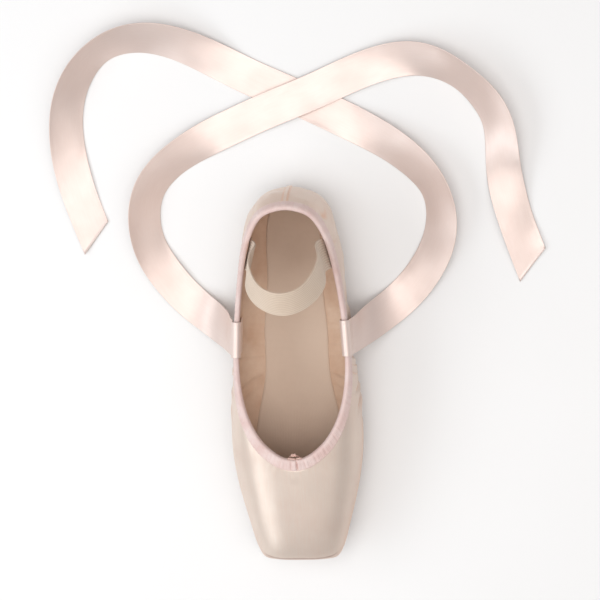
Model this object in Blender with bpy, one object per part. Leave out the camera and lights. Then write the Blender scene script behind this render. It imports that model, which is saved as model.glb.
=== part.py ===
"""A pink satin pointe shoe for either foot, standing empty and unbent on its sole.

Scene units are metres, +Z is up and +X points at the toe. The origin is on the floor, under the middle of
the shoe. The sizes below are in millimetres and are turned into metres where a mesh is made. Inside the
functions x is measured from the back of the heel, and move_to_origin shifts it.
"""

import math

import bpy
import numpy as np

MM = 0.001

# Driving dimensions
SHOE_LENGTH = 235.0
BALL_WIDTH = 82.0
INSTEP_HEIGHT = 50.4
HEEL_HEIGHT = 57.0
SIDE_HEIGHT = 42.6

# Upper: satin over canvas at the quarters, paste-stiffened layers round the toe box
QUARTER_WALL = 1.8
BOX_WALL = 2.6
BOX_BLEND_X = (118.0, 168.0)
LASTING_MARGIN = 5.0
PIECE_GAP = 0.3

# Seams are steps in the outer wall: half width and height of each
SIDE_SEAM_X = 114.0
SIDE_SEAM = (2.3, 0.45)
HEEL_SEAM = (1.0, 0.6)
SEAM_RAMP = 0.45
SEAM_FADE = (0.12, 0.26)

# Collar binding, a folded tape that holds the drawstring
BINDING_WIDTH = 7.0
BINDING_STAND = 0.6
BINDING_GAP = 0.55

# Outsole
SOLE_THICKNESS = 3.0
SOLE_TIP_THICKNESS = 2.0
SOLE_EDGE_BEVEL = 0.6
ARCH_RISE = 2.4
ARCH_X = (50.0, 90.0, 130.0)
TOE_SPRING = 1.6
TOE_SPRING_X = (188.0, 209.0)
RIB_PITCH = 2.75
RIB_COUNT = 25
RIB_START_X = 134.0
RIB_GROOVE = (1.3, 0.55)
RIB_BORDER = 1.6
RIB_END = 1.0
PLATE_X = (159.0, 184.0)
PLATE_HALF_WIDTH = 5.2

# Insole
INSOLE_THICKNESS = 1.6
INSOLE_CLEARANCE = 1.6

# Ribbons, elastic and drawstring
RIBBON_WIDTH = 22.0
RIBBON_THICKNESS = 0.6
RIBBON_SAG_GAP = 0.5
ELASTIC_WIDTH = 19.0
ELASTIC_THICKNESS = 1.2
ELASTIC_SAG_GAP = 0.5
DRAWSTRING_DIAMETER = 2.0
KNOT_RADIUS = 2.3
KNOT_BEHIND_COLLAR = (-2.5, 0.0, -3.0)

# Sections of the upper on one side, from the middle of the heel to the middle of the toe. x is in hundredths
# of the length, y of half the ball width, z of the instep height. Each section runs from the sole's edge,
# outwards under the shoe, past the widest point and up or over to the collar. under_z is the height of its
# lower corner and shoulder_z of its upper one, fullness is how far it fills those corners, and rise is how
# far the collar has climbed from the side's height to the heel's or the instep's.
SECTION_COLUMNS = (
    "sole_x", "sole_y", "wide_x", "wide_y", "wide_z", "under_z", "shoulder_z",
    "collar_x", "collar_y", "rise", "low_fullness", "high_fullness",
)
SECTIONS = (
    # sole        widest             corners      collar               fullness
    (2.5, 0.0,    0.0, 0.0, 44.0,    8.0, 80.0,   4.2, 0.0, 1.00,      0.66, 0.62),
    (2.8, 16.0,   0.6, 23.0, 44.0,   8.0, 80.0,   4.8, 20.0, 0.96,     0.66, 0.62),
    (4.2, 30.0,   2.8, 46.0, 44.0,   8.0, 78.0,   6.6, 39.0, 0.83,     0.65, 0.62),
    (8.5, 37.0,   7.2, 63.0, 43.0,   8.5, 75.0,   11.0, 55.0, 0.60,    0.63, 0.62),
    (16.0, 39.0,  15.5, 75.0, 42.0,  9.5, 70.0,   18.5, 68.0, 0.34,    0.60, 0.62),
    (26.5, 38.0,  26.5, 81.0, 41.0,  11.5, 67.0,  27.5, 77.0, 0.13,    0.57, 0.62),
    (38.5, 38.0,  38.5, 87.0, 40.0,  13.0, 66.0,  37.5, 83.0, 0.02,    0.55, 0.62),
    (49.5, 43.0,  49.5, 94.0, 40.0,  12.5, 66.0,  46.5, 83.5, 0.00,    0.56, 0.62),
    (59.5, 55.0,  59.5, 99.0, 40.0,  11.0, 72.0,  54.0, 77.5, 0.20,    0.60, 0.60),
    (68.0, 63.0,  68.5, 100.0, 40.0, 9.5, 78.8,   60.0, 66.5, 0.48,    0.66, 0.57),
    (75.5, 62.0,  76.5, 95.0, 40.0,  9.5, 78.3,   64.3, 53.0, 0.70,    0.74, 0.60),
    (81.5, 54.0,  85.0, 84.5, 39.0,  10.5, 76.8,  67.0, 39.0, 0.85,    0.80, 0.64),
    (85.5, 42.0,  92.0, 74.0, 38.0,  11.5, 74.4,  68.7, 26.5, 0.93,    0.86, 0.67),
    (87.7, 28.0,  98.1, 62.3, 37.0,  12.0, 71.5,  69.6, 16.5, 0.98,    0.91, 0.70),
    (88.1, 23.7,  99.5, 56.0, 37.0,  12.0, 71.0,  69.75, 14.0, 0.985,  0.92, 0.75),
    (88.55, 16.9, 99.97, 40.0, 37.0, 12.0, 72.0,  69.9, 9.9, 0.995,    0.92, 0.89),
    (89.0, 0.0,   100.0, 0.0, 37.0,  12.0, 74.9,  70.1, 0.0, 1.00,     0.92, 0.95),
)
LOWER_SHARE = 0.4
LOWER_STEPS = (0.0, 0.16, 0.34, 0.52, 0.72, 1.0)
UPPER_STEPS = (0.17, 0.33, 0.46, 0.58, 0.70, 0.80, 0.90, 1.0)
STEPS_PER_SECTION = 3

# Binding profile: share of its width from the lower edge, and how far its face stands off the wall,
# in shares of BINDING_STAND, listed up the outside. The inside mirrors it.
BINDING_PROFILE = ((0.0, 0.25), (0.45, 1.2), (0.86, 0.75))

# Ribbons and elastic are sewn inside the quarters. Their place is the x where they cross the collar, and
# their stations along the wall are distances below the collar, inside and then outside.
RIBBON_X = 91.0
RIBBON_INSIDE = (22.0, 15.0, 8.0, 3.5, 0.0)
RIBBON_OUTSIDE = (0.0, 3.5, 8.0)
RIBBON_HUMP = 2.4
# The left ribbon's fall from the collar to the floor: x, y, z in millimetres, then the plan angle of its
# width in degrees.
RIBBON_FALL = (
    (90.4, 39.6, 28.0, 5.0),
    (89.2, 42.4, 20.6, 10.0),
    (86.6, 47.2, 13.2, 17.0),
    (82.2, 54.0, 6.8, 26.0),
    (76.0, 62.6, 2.6, 35.0),
)
# Its run on the floor: x, y in millimetres, how far it banks in degrees, and how far it is lifted.
RIBBON_FLOOR_LEFT = (
    (58.0, 79.5, 12.0, 0.5),
    (33.0, 91.0, 28.0, 0.0),
    (5.0, 88.5, 38.0, 0.0),
    (-18.0, 69.0, 26.0, 0.0),
    (-36.0, 40.0, 2.0, 0.0),
    (-52.0, 8.0, 0.0, 0.0),
    (-67.0, -24.0, 0.0, 0.0),
    (-83.0, -55.0, 12.0, 0.0),
    (-93.0, -87.0, 36.0, 0.0),
    (-86.0, -117.0, 50.0, 0.0),
    (-62.0, -136.0, 44.0, 0.0),
    (-31.0, -141.0, 24.0, 0.0),
    (1.0, -136.0, 8.0, 0.0),
    (31.0, -126.0, 0.0, 0.4),
)
# The right one is its mirror image down to the floor, and crosses over the left one behind the heel.
RIBBON_FLOOR_RIGHT = (
    (57.0, 80.0, 12.0, 0.5),
    (31.0, 92.5, 30.0, 0.0),
    (2.0, 90.0, 40.0, 0.0),
    (-20.0, 69.5, 26.0, 0.0),
    (-35.0, 41.0, 4.0, 1.4),
    (-47.0, 12.0, 0.0, 2.3),
    (-58.0, -17.0, 0.0, 2.3),
    (-70.0, -47.0, 0.0, 1.9),
    (-75.0, -79.0, 24.0, 0.2),
    (-62.0, -108.0, 46.0, 0.0),
    (-36.0, -127.0, 38.0, 0.0),
    (-6.0, -131.0, 16.0, 0.0),
    (25.0, -138.0, -14.0, 0.0),
    (54.0, -148.0, 0.0, 0.4),
)
RIBBON_FOLD_STEP = 1.2
RIBBON_FLOOR_STATIONS = 56

ELASTIC_X = 39.0
ELASTIC_INSIDE = (20.0, 13.0, 6.0)
# Left half of the elastic's arch over the opening: x, y, z in millimetres, then the direction of its width
# as toe-in and dip, both in degrees.
ELASTIC_ARCH = (
    (40.4, 20.6, 54.0, 15.0, 8.0),
    (43.5, 21.6, 61.5, 13.0, 18.0),
    (48.5, 21.6, 69.5, 11.0, 27.0),
    (54.5, 18.4, 77.0, 8.0, 34.0),
    (60.5, 11.4, 83.6, 4.0, 38.0),
    (63.5, 0.0, 86.6, 0.0, 40.0),
)
ELASTIC_STATIONS = 40

# Colours as linear red, green, blue, then roughness
FINISHES = {
    "satin": ((0.84, 0.68, 0.58), 0.35),
    "binding_tape": ((0.85, 0.66, 0.60), 0.75),
    "sole_leather": ((0.42, 0.29, 0.23), 0.7),
    "insole_cloth": ((0.78, 0.62, 0.50), 0.85),
    "elastic": ((0.80, 0.69, 0.58), 0.8),
    "ribbon_satin": ((0.86, 0.68, 0.58), 0.35),
    "drawstring_cord": ((0.83, 0.52, 0.43), 0.8),
}


def clear_scene():
    for old in list(bpy.data.objects):
        bpy.data.objects.remove(old)


def finish(name):
    """The material of that name, made once."""
    material = bpy.data.materials.get(name)
    if material is None:
        colour, roughness = FINISHES[name]
        material = bpy.data.materials.new(name)
        material.use_nodes = True
        shader = material.node_tree.nodes["Principled BSDF"]
        shader.inputs["Base Color"].default_value = (*colour, 1.0)
        shader.inputs["Roughness"].default_value = roughness
        shader.inputs["Metallic"].default_value = 0.0
    return material


def move_to_origin(points):
    """From millimetres measured at the back of the heel to metres measured at the shoe's middle."""
    return (np.asarray(points, float) - ((SHOE_LENGTH - HEEL_SEAM[1]) / 2, 0.0, 0.0)) * MM


def make_object(name, points, faces, material):
    mesh = bpy.data.meshes.new(name)
    mesh.from_pydata(move_to_origin(points).tolist(), [], faces)
    mesh.update()
    mesh.shade_smooth()
    mesh.set_sharp_from_angle(angle=math.radians(35))
    mesh.materials.append(finish(material))
    made = bpy.data.objects.new(name, mesh)
    bpy.context.scene.collection.objects.link(made)
    return made


def smooth_step(low, high, x):
    t = np.clip((np.asarray(x, float) - low) / (high - low), 0.0, 1.0)
    return t * t * (3 - 2 * t)


def spline_slopes(knots, values, closed):
    """Second derivatives at the knots of a cubic spline, closed or with free ends."""
    count = len(knots)
    gaps = np.diff(knots)
    matrix = np.eye(count)
    right = np.zeros_like(values)
    for i in range(1, count - 1):
        matrix[i, i - 1:i + 2] = gaps[i - 1], 2 * (gaps[i - 1] + gaps[i]), gaps[i]
        right[i] = 6 * ((values[i + 1] - values[i]) / gaps[i] - (values[i] - values[i - 1]) / gaps[i - 1])
    if closed:
        matrix[0, -1] = -1.0
        matrix[-1, :] = 0.0
        matrix[-1, [-2, -1]] = gaps[-1], 2 * gaps[-1]
        matrix[-1, [0, 1]] += 2 * gaps[0], gaps[0]
        right[-1] = 6 * ((values[1] - values[0]) / gaps[0] - (values[-1] - values[-2]) / gaps[-1])
    return np.linalg.solve(matrix, right)


def spline(knots, values, at, closed=False):
    """A cubic spline with continuous curvature through values at knots. Rows of values are points."""
    knots = np.asarray(knots, float)
    values = np.asarray(values, float)
    bend = spline_slopes(knots, values, closed)
    at = np.asarray(at, float)
    if closed:
        at = knots[0] + np.mod(at - knots[0], knots[-1] - knots[0])
    i = np.clip(np.searchsorted(knots, at, side="right") - 1, 0, len(knots) - 2)
    gap = (knots[i + 1] - knots[i])[..., None]
    a = (knots[i + 1] - at)[..., None] / gap
    b = 1 - a
    curved = ((a ** 3 - a) * bend[i] + (b ** 3 - b) * bend[i + 1]) * gap ** 2 / 6
    return a * values[i] + b * values[i + 1] + curved


def chord_lengths(points):
    return np.concatenate([[0.0], np.cumsum(np.linalg.norm(np.diff(points, axis=0), axis=1))])


def section_table():
    """The sections all the way round in millimetres, left side first, and their places along the outline."""
    rows = np.array(SECTIONS)
    x_columns = [SECTION_COLUMNS.index(c) for c in ("sole_x", "wide_x", "collar_x")]
    y_columns = [SECTION_COLUMNS.index(c) for c in ("sole_y", "wide_y", "collar_y")]
    z_columns = [SECTION_COLUMNS.index(c) for c in ("wide_z", "under_z", "shoulder_z")]
    rise = SECTION_COLUMNS.index("rise")
    rows[:, x_columns] *= SHOE_LENGTH / 100
    rows[:, y_columns] *= BALL_WIDTH / 200
    rows[:, z_columns] *= INSTEP_HEIGHT / 100
    lowest = int(rows[:, rise].argmin())
    end_height = np.where(np.arange(len(rows)) < lowest, HEEL_HEIGHT, INSTEP_HEIGHT)
    rows[:, rise] = SIDE_HEIGHT + rows[:, rise] * (end_height - SIDE_HEIGHT)
    other_side = rows[-2::-1].copy()
    other_side[:, y_columns] *= -1
    table = np.vstack([rows, other_side])
    wide = [SECTION_COLUMNS.index(c) for c in ("wide_x", "wide_y")]
    return chord_lengths(table[:, wide]), table


KNOTS, TABLE = section_table()
OUTLINE_LENGTH = KNOTS[-1]
TOE_AT = OUTLINE_LENGTH / 2


def sole_bottom(x):
    """Height of the sole's tread: flat under heel and ball, arched between them, sprung at the tip."""
    start, top, end = ARCH_X
    arch = smooth_step(start, top, x) * (1 - smooth_step(top, end, x))
    return ARCH_RISE * arch + TOE_SPRING * smooth_step(*TOE_SPRING_X, x) ** 2


def sole_top(x):
    thinning = smooth_step(*TOE_SPRING_X, x)
    return sole_bottom(x) + SOLE_THICKNESS + (SOLE_TIP_THICKNESS - SOLE_THICKNESS) * thinning


def section_corners(at):
    """Feather edge, lower corner, widest point, upper corner and collar of the sections at those places."""
    values = dict(zip(SECTION_COLUMNS, spline(KNOTS, TABLE, at, closed=True).T))
    sole = np.stack([values["sole_x"], values["sole_y"]], axis=-1)
    wide = np.stack([values["wide_x"], values["wide_y"]], axis=-1)
    outward = wide - sole
    outward /= np.linalg.norm(outward, axis=-1, keepdims=True)
    feather = sole - LASTING_MARGIN * outward
    feather_z = sole_top(feather[..., 0]) + PIECE_GAP

    def point(plan, height):
        return np.concatenate([plan, height[..., None]], axis=-1)

    collar = np.stack([values["collar_x"], values["collar_y"]], axis=-1)
    corners = (
        point(feather, feather_z),
        point(wide, np.maximum(values["under_z"], feather_z)),
        point(wide, values["wide_z"]),
        point(wide, values["shoulder_z"]),
        point(collar, values["rise"]),
    )
    return corners, values["low_fullness"], values["high_fullness"]


def rounded_corner(start, corner, end, fullness, t):
    """A cubic curve from start to end that leaves both towards the corner and fills it by that share."""
    fullness = fullness[..., None]
    t = t[..., None]
    first = start + fullness * (corner - start)
    second = end + fullness * (corner - end)
    return (
        (1 - t) ** 3 * start + 3 * t * (1 - t) ** 2 * first
        + 3 * t ** 2 * (1 - t) * second + t ** 3 * end
    )


def last_surface(at, up):
    """A point of the last: at goes round the outline, up from the feather edge at 0 to the collar at 1."""
    at, up = np.broadcast_arrays(np.asarray(at, float), np.asarray(up, float))
    (feather, under, wide, shoulder, collar), low, high = section_corners(at)
    lower = rounded_corner(feather, under, wide, low, np.clip(up / LOWER_SHARE, 0, 1))
    upper_share = np.clip((up - LOWER_SHARE) / (1 - LOWER_SHARE), 0, 1)
    upper = rounded_corner(wide, shoulder, collar, high, upper_share)
    return np.where((up < LOWER_SHARE)[..., None], lower, upper)


def outward_normal(at, up):
    """Unit normal of the last, from the surface's slope along and up."""
    step = 0.004
    at, up = np.broadcast_arrays(np.asarray(at, float), np.asarray(up, float))
    above, below = np.minimum(up + step, 1.0), np.maximum(up - step, 0.0)
    climb = last_surface(at, above) - last_surface(at, below)
    round_it = last_surface(at + 0.5, up) - last_surface(at - 0.5, up)
    normal = np.cross(climb, round_it)
    return normal / np.linalg.norm(normal, axis=-1, keepdims=True)


def wall(x):
    return QUARTER_WALL + (BOX_WALL - QUARTER_WALL) * smooth_step(*BOX_BLEND_X, x)


def up_at_distance_from_collar(at, distance):
    """How far up the section a point lies that is that distance short of the collar, along the section."""
    fine = np.linspace(LOWER_SHARE, 1.0, 121)
    found = []
    for place in np.atleast_1d(at):
        along = chord_lengths(last_surface(place, fine))
        found.append(np.interp(along[-1] - distance, along, fine))
    return np.array(found)


def place_of_widest_x(x):
    """Where along the left outline the widest point has that x."""
    fine = np.linspace(0.0, TOE_AT, 800)
    widest = last_surface(fine, LOWER_SHARE)[:, 0]
    return float(np.interp(x, widest, fine))


SEAMS = (
    (0.0, *HEEL_SEAM),
    (place_of_widest_x(SIDE_SEAM_X), *SIDE_SEAM),
    (OUTLINE_LENGTH - place_of_widest_x(SIDE_SEAM_X), *SIDE_SEAM),
)


def distance_round(at, centre):
    return np.abs((at - centre + OUTLINE_LENGTH / 2) % OUTLINE_LENGTH - OUTLINE_LENGTH / 2)


def seam_step(at, up):
    """How far the seams raise the wall at those places. They fade out where the wall turns under the shoe."""
    raised = np.zeros_like(at)
    for centre, half_width, height in SEAMS:
        away = distance_round(at, centre)
        raised += height * (1 - smooth_step(half_width, half_width + SEAM_RAMP, away))
    return raised * smooth_step(*SEAM_FADE, up)


def places_round():
    """Places round the outline: even steps between sections, and the edges of each seam."""
    steps = np.arange(STEPS_PER_SECTION) / STEPS_PER_SECTION
    places = (KNOTS[:-1, None] + np.diff(KNOTS)[:, None] * steps).ravel()
    for centre, half_width, _ in SEAMS:
        places = places[distance_round(places, centre) > half_width + 2 * SEAM_RAMP]
        edges = np.array([half_width, half_width + SEAM_RAMP])
        places = np.concatenate([places, centre - edges, [centre], centre + edges])
    return np.sort(places % OUTLINE_LENGTH)


def ring_faces(count, rings):
    """Quads between closed rings of points stacked one after the other, facing out for rings that climb."""
    faces = []
    for j in range(rings - 1):
        for i in range(count):
            after = (i + 1) % count
            faces.append((j * count + i, (j + 1) * count + i, (j + 1) * count + after, j * count + after))
    return faces


def make_upper(places):
    """One sheet in the last's outer shape up to the binding, given its wall inwards by a Solidify."""
    top = up_at_distance_from_collar(places, BINDING_WIDTH + BINDING_GAP)
    levels = [share * LOWER_SHARE * np.ones_like(places) for share in LOWER_STEPS]
    levels += [LOWER_SHARE + share * (top - LOWER_SHARE) for share in UPPER_STEPS]
    rings = []
    for level in levels:
        raised = seam_step(places, level)[:, None]
        rings.append(last_surface(places, level) + outward_normal(places, level) * raised)
    points = np.concatenate(rings)
    upper = make_object("upper", points, ring_faces(len(places), len(levels)), "satin")

    thickness = upper.vertex_groups.new(name="box")
    for index, share in enumerate(smooth_step(*BOX_BLEND_X, points[:, 0])):
        thickness.add([index], float(share), "REPLACE")
    solidify = upper.modifiers.new("wall", "SOLIDIFY")
    solidify.thickness = BOX_WALL * MM
    solidify.offset = -1.0
    solidify.use_even_offset = True
    solidify.vertex_group = thickness.name
    solidify.thickness_vertex_group = QUARTER_WALL / BOX_WALL
    return upper


def make_collar_binding(places):
    """A folded tape round the collar, a little proud of the wall on both faces, with a rounded top."""
    rings = []
    inner_rings = []
    for share, stand in BINDING_PROFILE:
        level = up_at_distance_from_collar(places, BINDING_WIDTH * (1 - share))
        centre = last_surface(places, level)
        normal = outward_normal(places, level)
        depth = wall(centre[:, 0])[:, None]
        rings.append(centre + normal * stand * BINDING_STAND)
        inner_rings.append(centre - normal * (depth + stand * BINDING_STAND))
    collar = last_surface(places, 1.0)
    top = collar - outward_normal(places, 1.0) * wall(collar[:, 0])[:, None] / 2
    rings += [top] + inner_rings[::-1]
    count = len(places)
    faces = ring_faces(count, len(rings))
    last = (len(rings) - 1) * count
    faces += [(last + i, i, (i + 1) % count, last + (i + 1) % count) for i in range(count)]
    return make_object("collar_binding", np.concatenate(rings), faces, "binding_tape")


def sole_half_width(x):
    """Half the outsole's width at x, from the sections' sole edge."""
    fine = np.linspace(0.0, TOE_AT, 1200)
    edge = spline(KNOTS, TABLE[:, :2], fine, closed=True)
    return np.interp(x, edge[:, 0], np.maximum(edge[:, 1], 0.0))


def outsole_stations():
    """x values along the sole with the depth of the groove at each, close together at the round ends."""
    heel, tip = TABLE[0, 0], TABLE[len(SECTIONS) - 1, 0]
    heel_round = [heel + 0.25 + 14.0 * (1 - math.cos(math.radians(a))) for a in (0, 12, 24, 36, 50, 66, 84)]
    tip_round = [tip - 0.2 - 20.0 * (1 - math.cos(math.radians(a))) for a in (56, 42, 30, 20, 10, 0)]
    plain = heel_round + [26.0, 38.0, 50.0, 60.0, 70.0, 80.0, 90.0, 100.0, 110.0, 120.0, 128.0] + tip_round
    width, depth = RIB_GROOVE
    ribs = []
    for first in RIB_START_X + RIB_PITCH * np.arange(RIB_COUNT):
        ribs += [(first, 0.0), (first + width / 2, depth), (first + width, 0.0)]
    rib_end = ribs[-1][0]
    return sorted([(x, 0.0) for x in plain if x < RIB_START_X - 1 or x > rib_end + 0.6] + ribs)


def make_outsole():
    """A leather sole with a bevelled edge, cross ribs under the ball, and a bare plate among the ribs."""
    stations = outsole_stations()
    x = np.array([row[0] for row in stations])
    groove = np.array([row[1] for row in stations])
    half = sole_half_width(x)
    on_plate = (x > PLATE_X[0]) & (x < PLATE_X[1])

    inner_border = np.maximum(half - RIB_BORDER, half * 0.82)
    inner_end = np.maximum(half - RIB_BORDER - RIB_END, half * 0.66)
    plate_outer = np.minimum(PLATE_HALF_WIDTH + RIB_END, half * 0.5)
    plate_inner = np.minimum(PLATE_HALF_WIDTH, half * 0.4)
    bevel_in = np.minimum(SOLE_EDGE_BEVEL, half * 0.1)
    plate_groove = np.where(on_plate, 0.0, groove)
    tread = sole_bottom(x)
    top = sole_top(x)

    left_half = (
        (half, top),
        (half, tread + SOLE_EDGE_BEVEL),
        (half - bevel_in, tread),
        (inner_border, tread),
        (inner_end, tread + groove),
        (plate_outer, tread + groove),
        (plate_inner, tread + plate_groove),
    )
    columns = [np.stack([x, y, z], axis=1) for y, z in left_half]
    columns += [np.stack([x, -y, z], axis=1) for y, z in left_half[::-1]]
    count = len(x)
    points = np.concatenate(columns)
    faces = []
    total = len(columns)
    for c in range(total):
        beside = (c + 1) % total
        for i in range(count - 1):
            faces.append((c * count + i, c * count + i + 1, beside * count + i + 1, beside * count + i))
    faces.append([c * count for c in range(total)])
    faces.append([c * count + count - 1 for c in reversed(range(total))])
    return make_object("outsole", points, faces, "sole_leather")


def make_insole(places):
    """A thin board inside, on the upper's lasting margin, out to where the wall starts to climb."""
    places = places[places <= TOE_AT]
    fine = np.array(LOWER_STEPS) * LOWER_SHARE
    rings = []
    for height in (0.0, INSOLE_THICKNESS):
        ring = []
        for place in places:
            outer = last_surface(place, fine)
            inner = outer - outward_normal(place, fine) * wall(outer[:, 0])[:, None]
            start = inner[0]
            level = start[2] + PIECE_GAP + height
            reach = np.linalg.norm(inner[:, :2] - start[:2], axis=1)
            out = np.interp(level, inner[:, 2], reach)
            outward = outer[-1, :2] - start[:2]
            outward /= np.linalg.norm(outward)
            edge = start[:2] + outward * max(out - INSOLE_CLEARANCE, 0.0)
            ring.append((edge[0], max(edge[1], 0.0), level))
        rings.append(np.array(ring))
    bottom, top = rings
    mirrored = np.array([1.0, -1.0, 1.0])
    strips = [bottom, top, top * mirrored, bottom * mirrored]
    for strip in strips:
        strip[[0, -1], 1] = np.sign(strip[1, 1]) * 1.5
    count = len(places)
    faces = []
    for c in range(4):
        beside = (c + 1) % 4
        for i in range(count - 1):
            faces.append((c * count + i, beside * count + i, beside * count + i + 1, c * count + i + 1))
    faces.append([c * count for c in reversed(range(4))])
    faces.append([c * count + count - 1 for c in range(4)])
    return make_object("insole", np.concatenate(strips), faces, "insole_cloth")


def make_strap(name, centres, widths, width, thickness, material):
    """A flat strap: a sheet two points wide along its centre line, given its thickness by a Solidify."""
    points = np.stack([centres - widths * width / 2, centres + widths * width / 2], axis=1).reshape(-1, 3)
    faces = [(2 * i, 2 * i + 1, 2 * i + 3, 2 * i + 2) for i in range(len(centres) - 1)]
    strap = make_object(name, points, faces, material)
    solidify = strap.modifiers.new("thickness", "SOLIDIFY")
    solidify.thickness = thickness * MM
    solidify.offset = 0.0
    solidify.use_even_offset = True
    return strap


def across(centres, widths):
    """Width directions made square to the centre line."""
    along = np.gradient(centres, axis=0)
    along /= np.linalg.norm(along, axis=1, keepdims=True)
    square = widths - along * (widths * along).sum(axis=1, keepdims=True)
    return square / np.linalg.norm(square, axis=1, keepdims=True)


def direction(turn, tilt):
    """Unit vector at a plan angle and a tilt above the floor, both in degrees."""
    turn, tilt = np.radians(turn), np.radians(tilt)
    return np.stack([np.cos(turn) * np.cos(tilt), np.sin(turn) * np.cos(tilt), np.sin(tilt)], axis=-1)


def place_of_collar_x(x):
    """Where along the left outline the collar has that x."""
    fine = np.linspace(0.0, TOE_AT, 800)
    return float(np.interp(x, last_surface(fine, 1.0)[:, 0], fine))


def beside_wall(place, distances, thickness, sag_gap, outside):
    """Centre points of a strap against the binding, that far below the collar, on either face, one straight
    above the other. The strap is flat and the wall is curved, so sag_gap keeps its edges clear of it."""
    level = np.array([up_at_distance_from_collar(place, distance)[0] for distance in distances])
    face = last_surface(place, level)
    normal = outward_normal(place, level)
    clear = BINDING_STAND * max(stand for _, stand in BINDING_PROFILE) + PIECE_GAP + thickness / 2 + sag_gap
    away = clear if outside else -clear - wall(face[:, 0])[:, None]
    centres = face + normal * away
    centres[:, 0] = last_surface(place, 1.0)[0]
    return centres


def collar_heading(place):
    """Plan angle of the collar at that place, in degrees."""
    run = last_surface(place + 2.0, 1.0) - last_surface(place - 2.0, 1.0)
    return math.degrees(math.atan2(run[1], run[0]))


def ribbon_route(floor_run):
    """Centre line and width directions of a left ribbon, over the collar and along the floor."""
    place = place_of_collar_x(RIBBON_X)
    inside = beside_wall(place, RIBBON_INSIDE, RIBBON_THICKNESS, RIBBON_SAG_GAP, outside=False)
    outside = beside_wall(place, RIBBON_OUTSIDE, RIBBON_THICKNESS, RIBBON_SAG_GAP, outside=True)
    middle = (inside[-1] + outside[0]) / 2
    crest = np.array([[middle[0], middle[1], last_surface(place, 1.0)[2] + RIBBON_HUMP]])
    over = np.vstack([inside, crest, outside])
    heading = collar_heading(place)
    fall = np.array(RIBBON_FALL)
    run = np.array(floor_run)
    bank = np.radians(run[:, 2])
    height = run[:, 3] + RIBBON_THICKNESS / 2 * np.cos(bank) + RIBBON_WIDTH / 2 * np.abs(np.sin(bank)) + 0.1
    plan = np.vstack([fall[-1:, :2], run[:, :2]])
    turn = np.degrees(np.unwrap(np.arctan2(*np.gradient(plan, axis=0).T[::-1]))[1:]) - 90.0
    route = np.vstack([
        np.column_stack([over, np.full(len(over), heading), np.zeros(len(over))]),
        np.column_stack([fall, np.zeros(len(fall))]),
        np.column_stack([run[:, :2], height, turn, run[:, 2]]),
    ])
    along = chord_lengths(route[:, :3])
    fold_end = along[len(over)]
    fold_stations = np.arange(0.0, fold_end, RIBBON_FOLD_STEP)
    stations = np.concatenate([fold_stations, np.linspace(fold_end, along[-1], RIBBON_FLOOR_STATIONS)])
    centres = spline(along, route[:, :3], stations)
    turns, banks = (np.interp(stations, along, angles) for angles in route[:, 3:].T)
    widths = across(centres, direction(turns, banks))
    reach = np.abs(widths[:, 2]) * RIBBON_WIDTH / 2 + RIBBON_THICKNESS / 2
    centres[:, 2] = np.maximum(centres[:, 2], reach + 0.1)
    return centres, widths


def make_ribbons():
    mirrored = np.array([1.0, -1.0, 1.0])
    centres, widths = ribbon_route(RIBBON_FLOOR_LEFT)
    make_strap("ribbon_left", centres, widths, RIBBON_WIDTH, RIBBON_THICKNESS, "ribbon_satin")
    centres, widths = ribbon_route(RIBBON_FLOOR_RIGHT)
    make_strap(
        "ribbon_right", centres * mirrored, widths * mirrored, RIBBON_WIDTH, RIBBON_THICKNESS, "ribbon_satin",
    )


def make_elastic():
    """The ankle elastic: sewn inside both quarters, arched forwards over the opening as on a foot."""
    place = place_of_collar_x(ELASTIC_X)
    inside = beside_wall(place, ELASTIC_INSIDE, ELASTIC_THICKNESS, ELASTIC_SAG_GAP, outside=False)
    sewn = np.column_stack([inside, np.full(len(inside), collar_heading(place)), np.zeros(len(inside))])
    half = np.vstack([sewn, ELASTIC_ARCH])
    other = half[-2::-1] * (1, -1, 1, -1, 1)
    route = np.vstack([half, other])
    along = chord_lengths(route[:, :3])
    stations = np.linspace(0.0, along[-1], ELASTIC_STATIONS)
    centres = spline(along, route[:, :3], stations)
    toe_in, dip = (np.interp(stations, along, angles) for angles in route[:, 3:].T)
    widths = across(centres, direction(toe_in, -dip))
    return make_strap("elastic_band", centres, widths, ELASTIC_WIDTH, ELASTIC_THICKNESS, "elastic")


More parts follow.
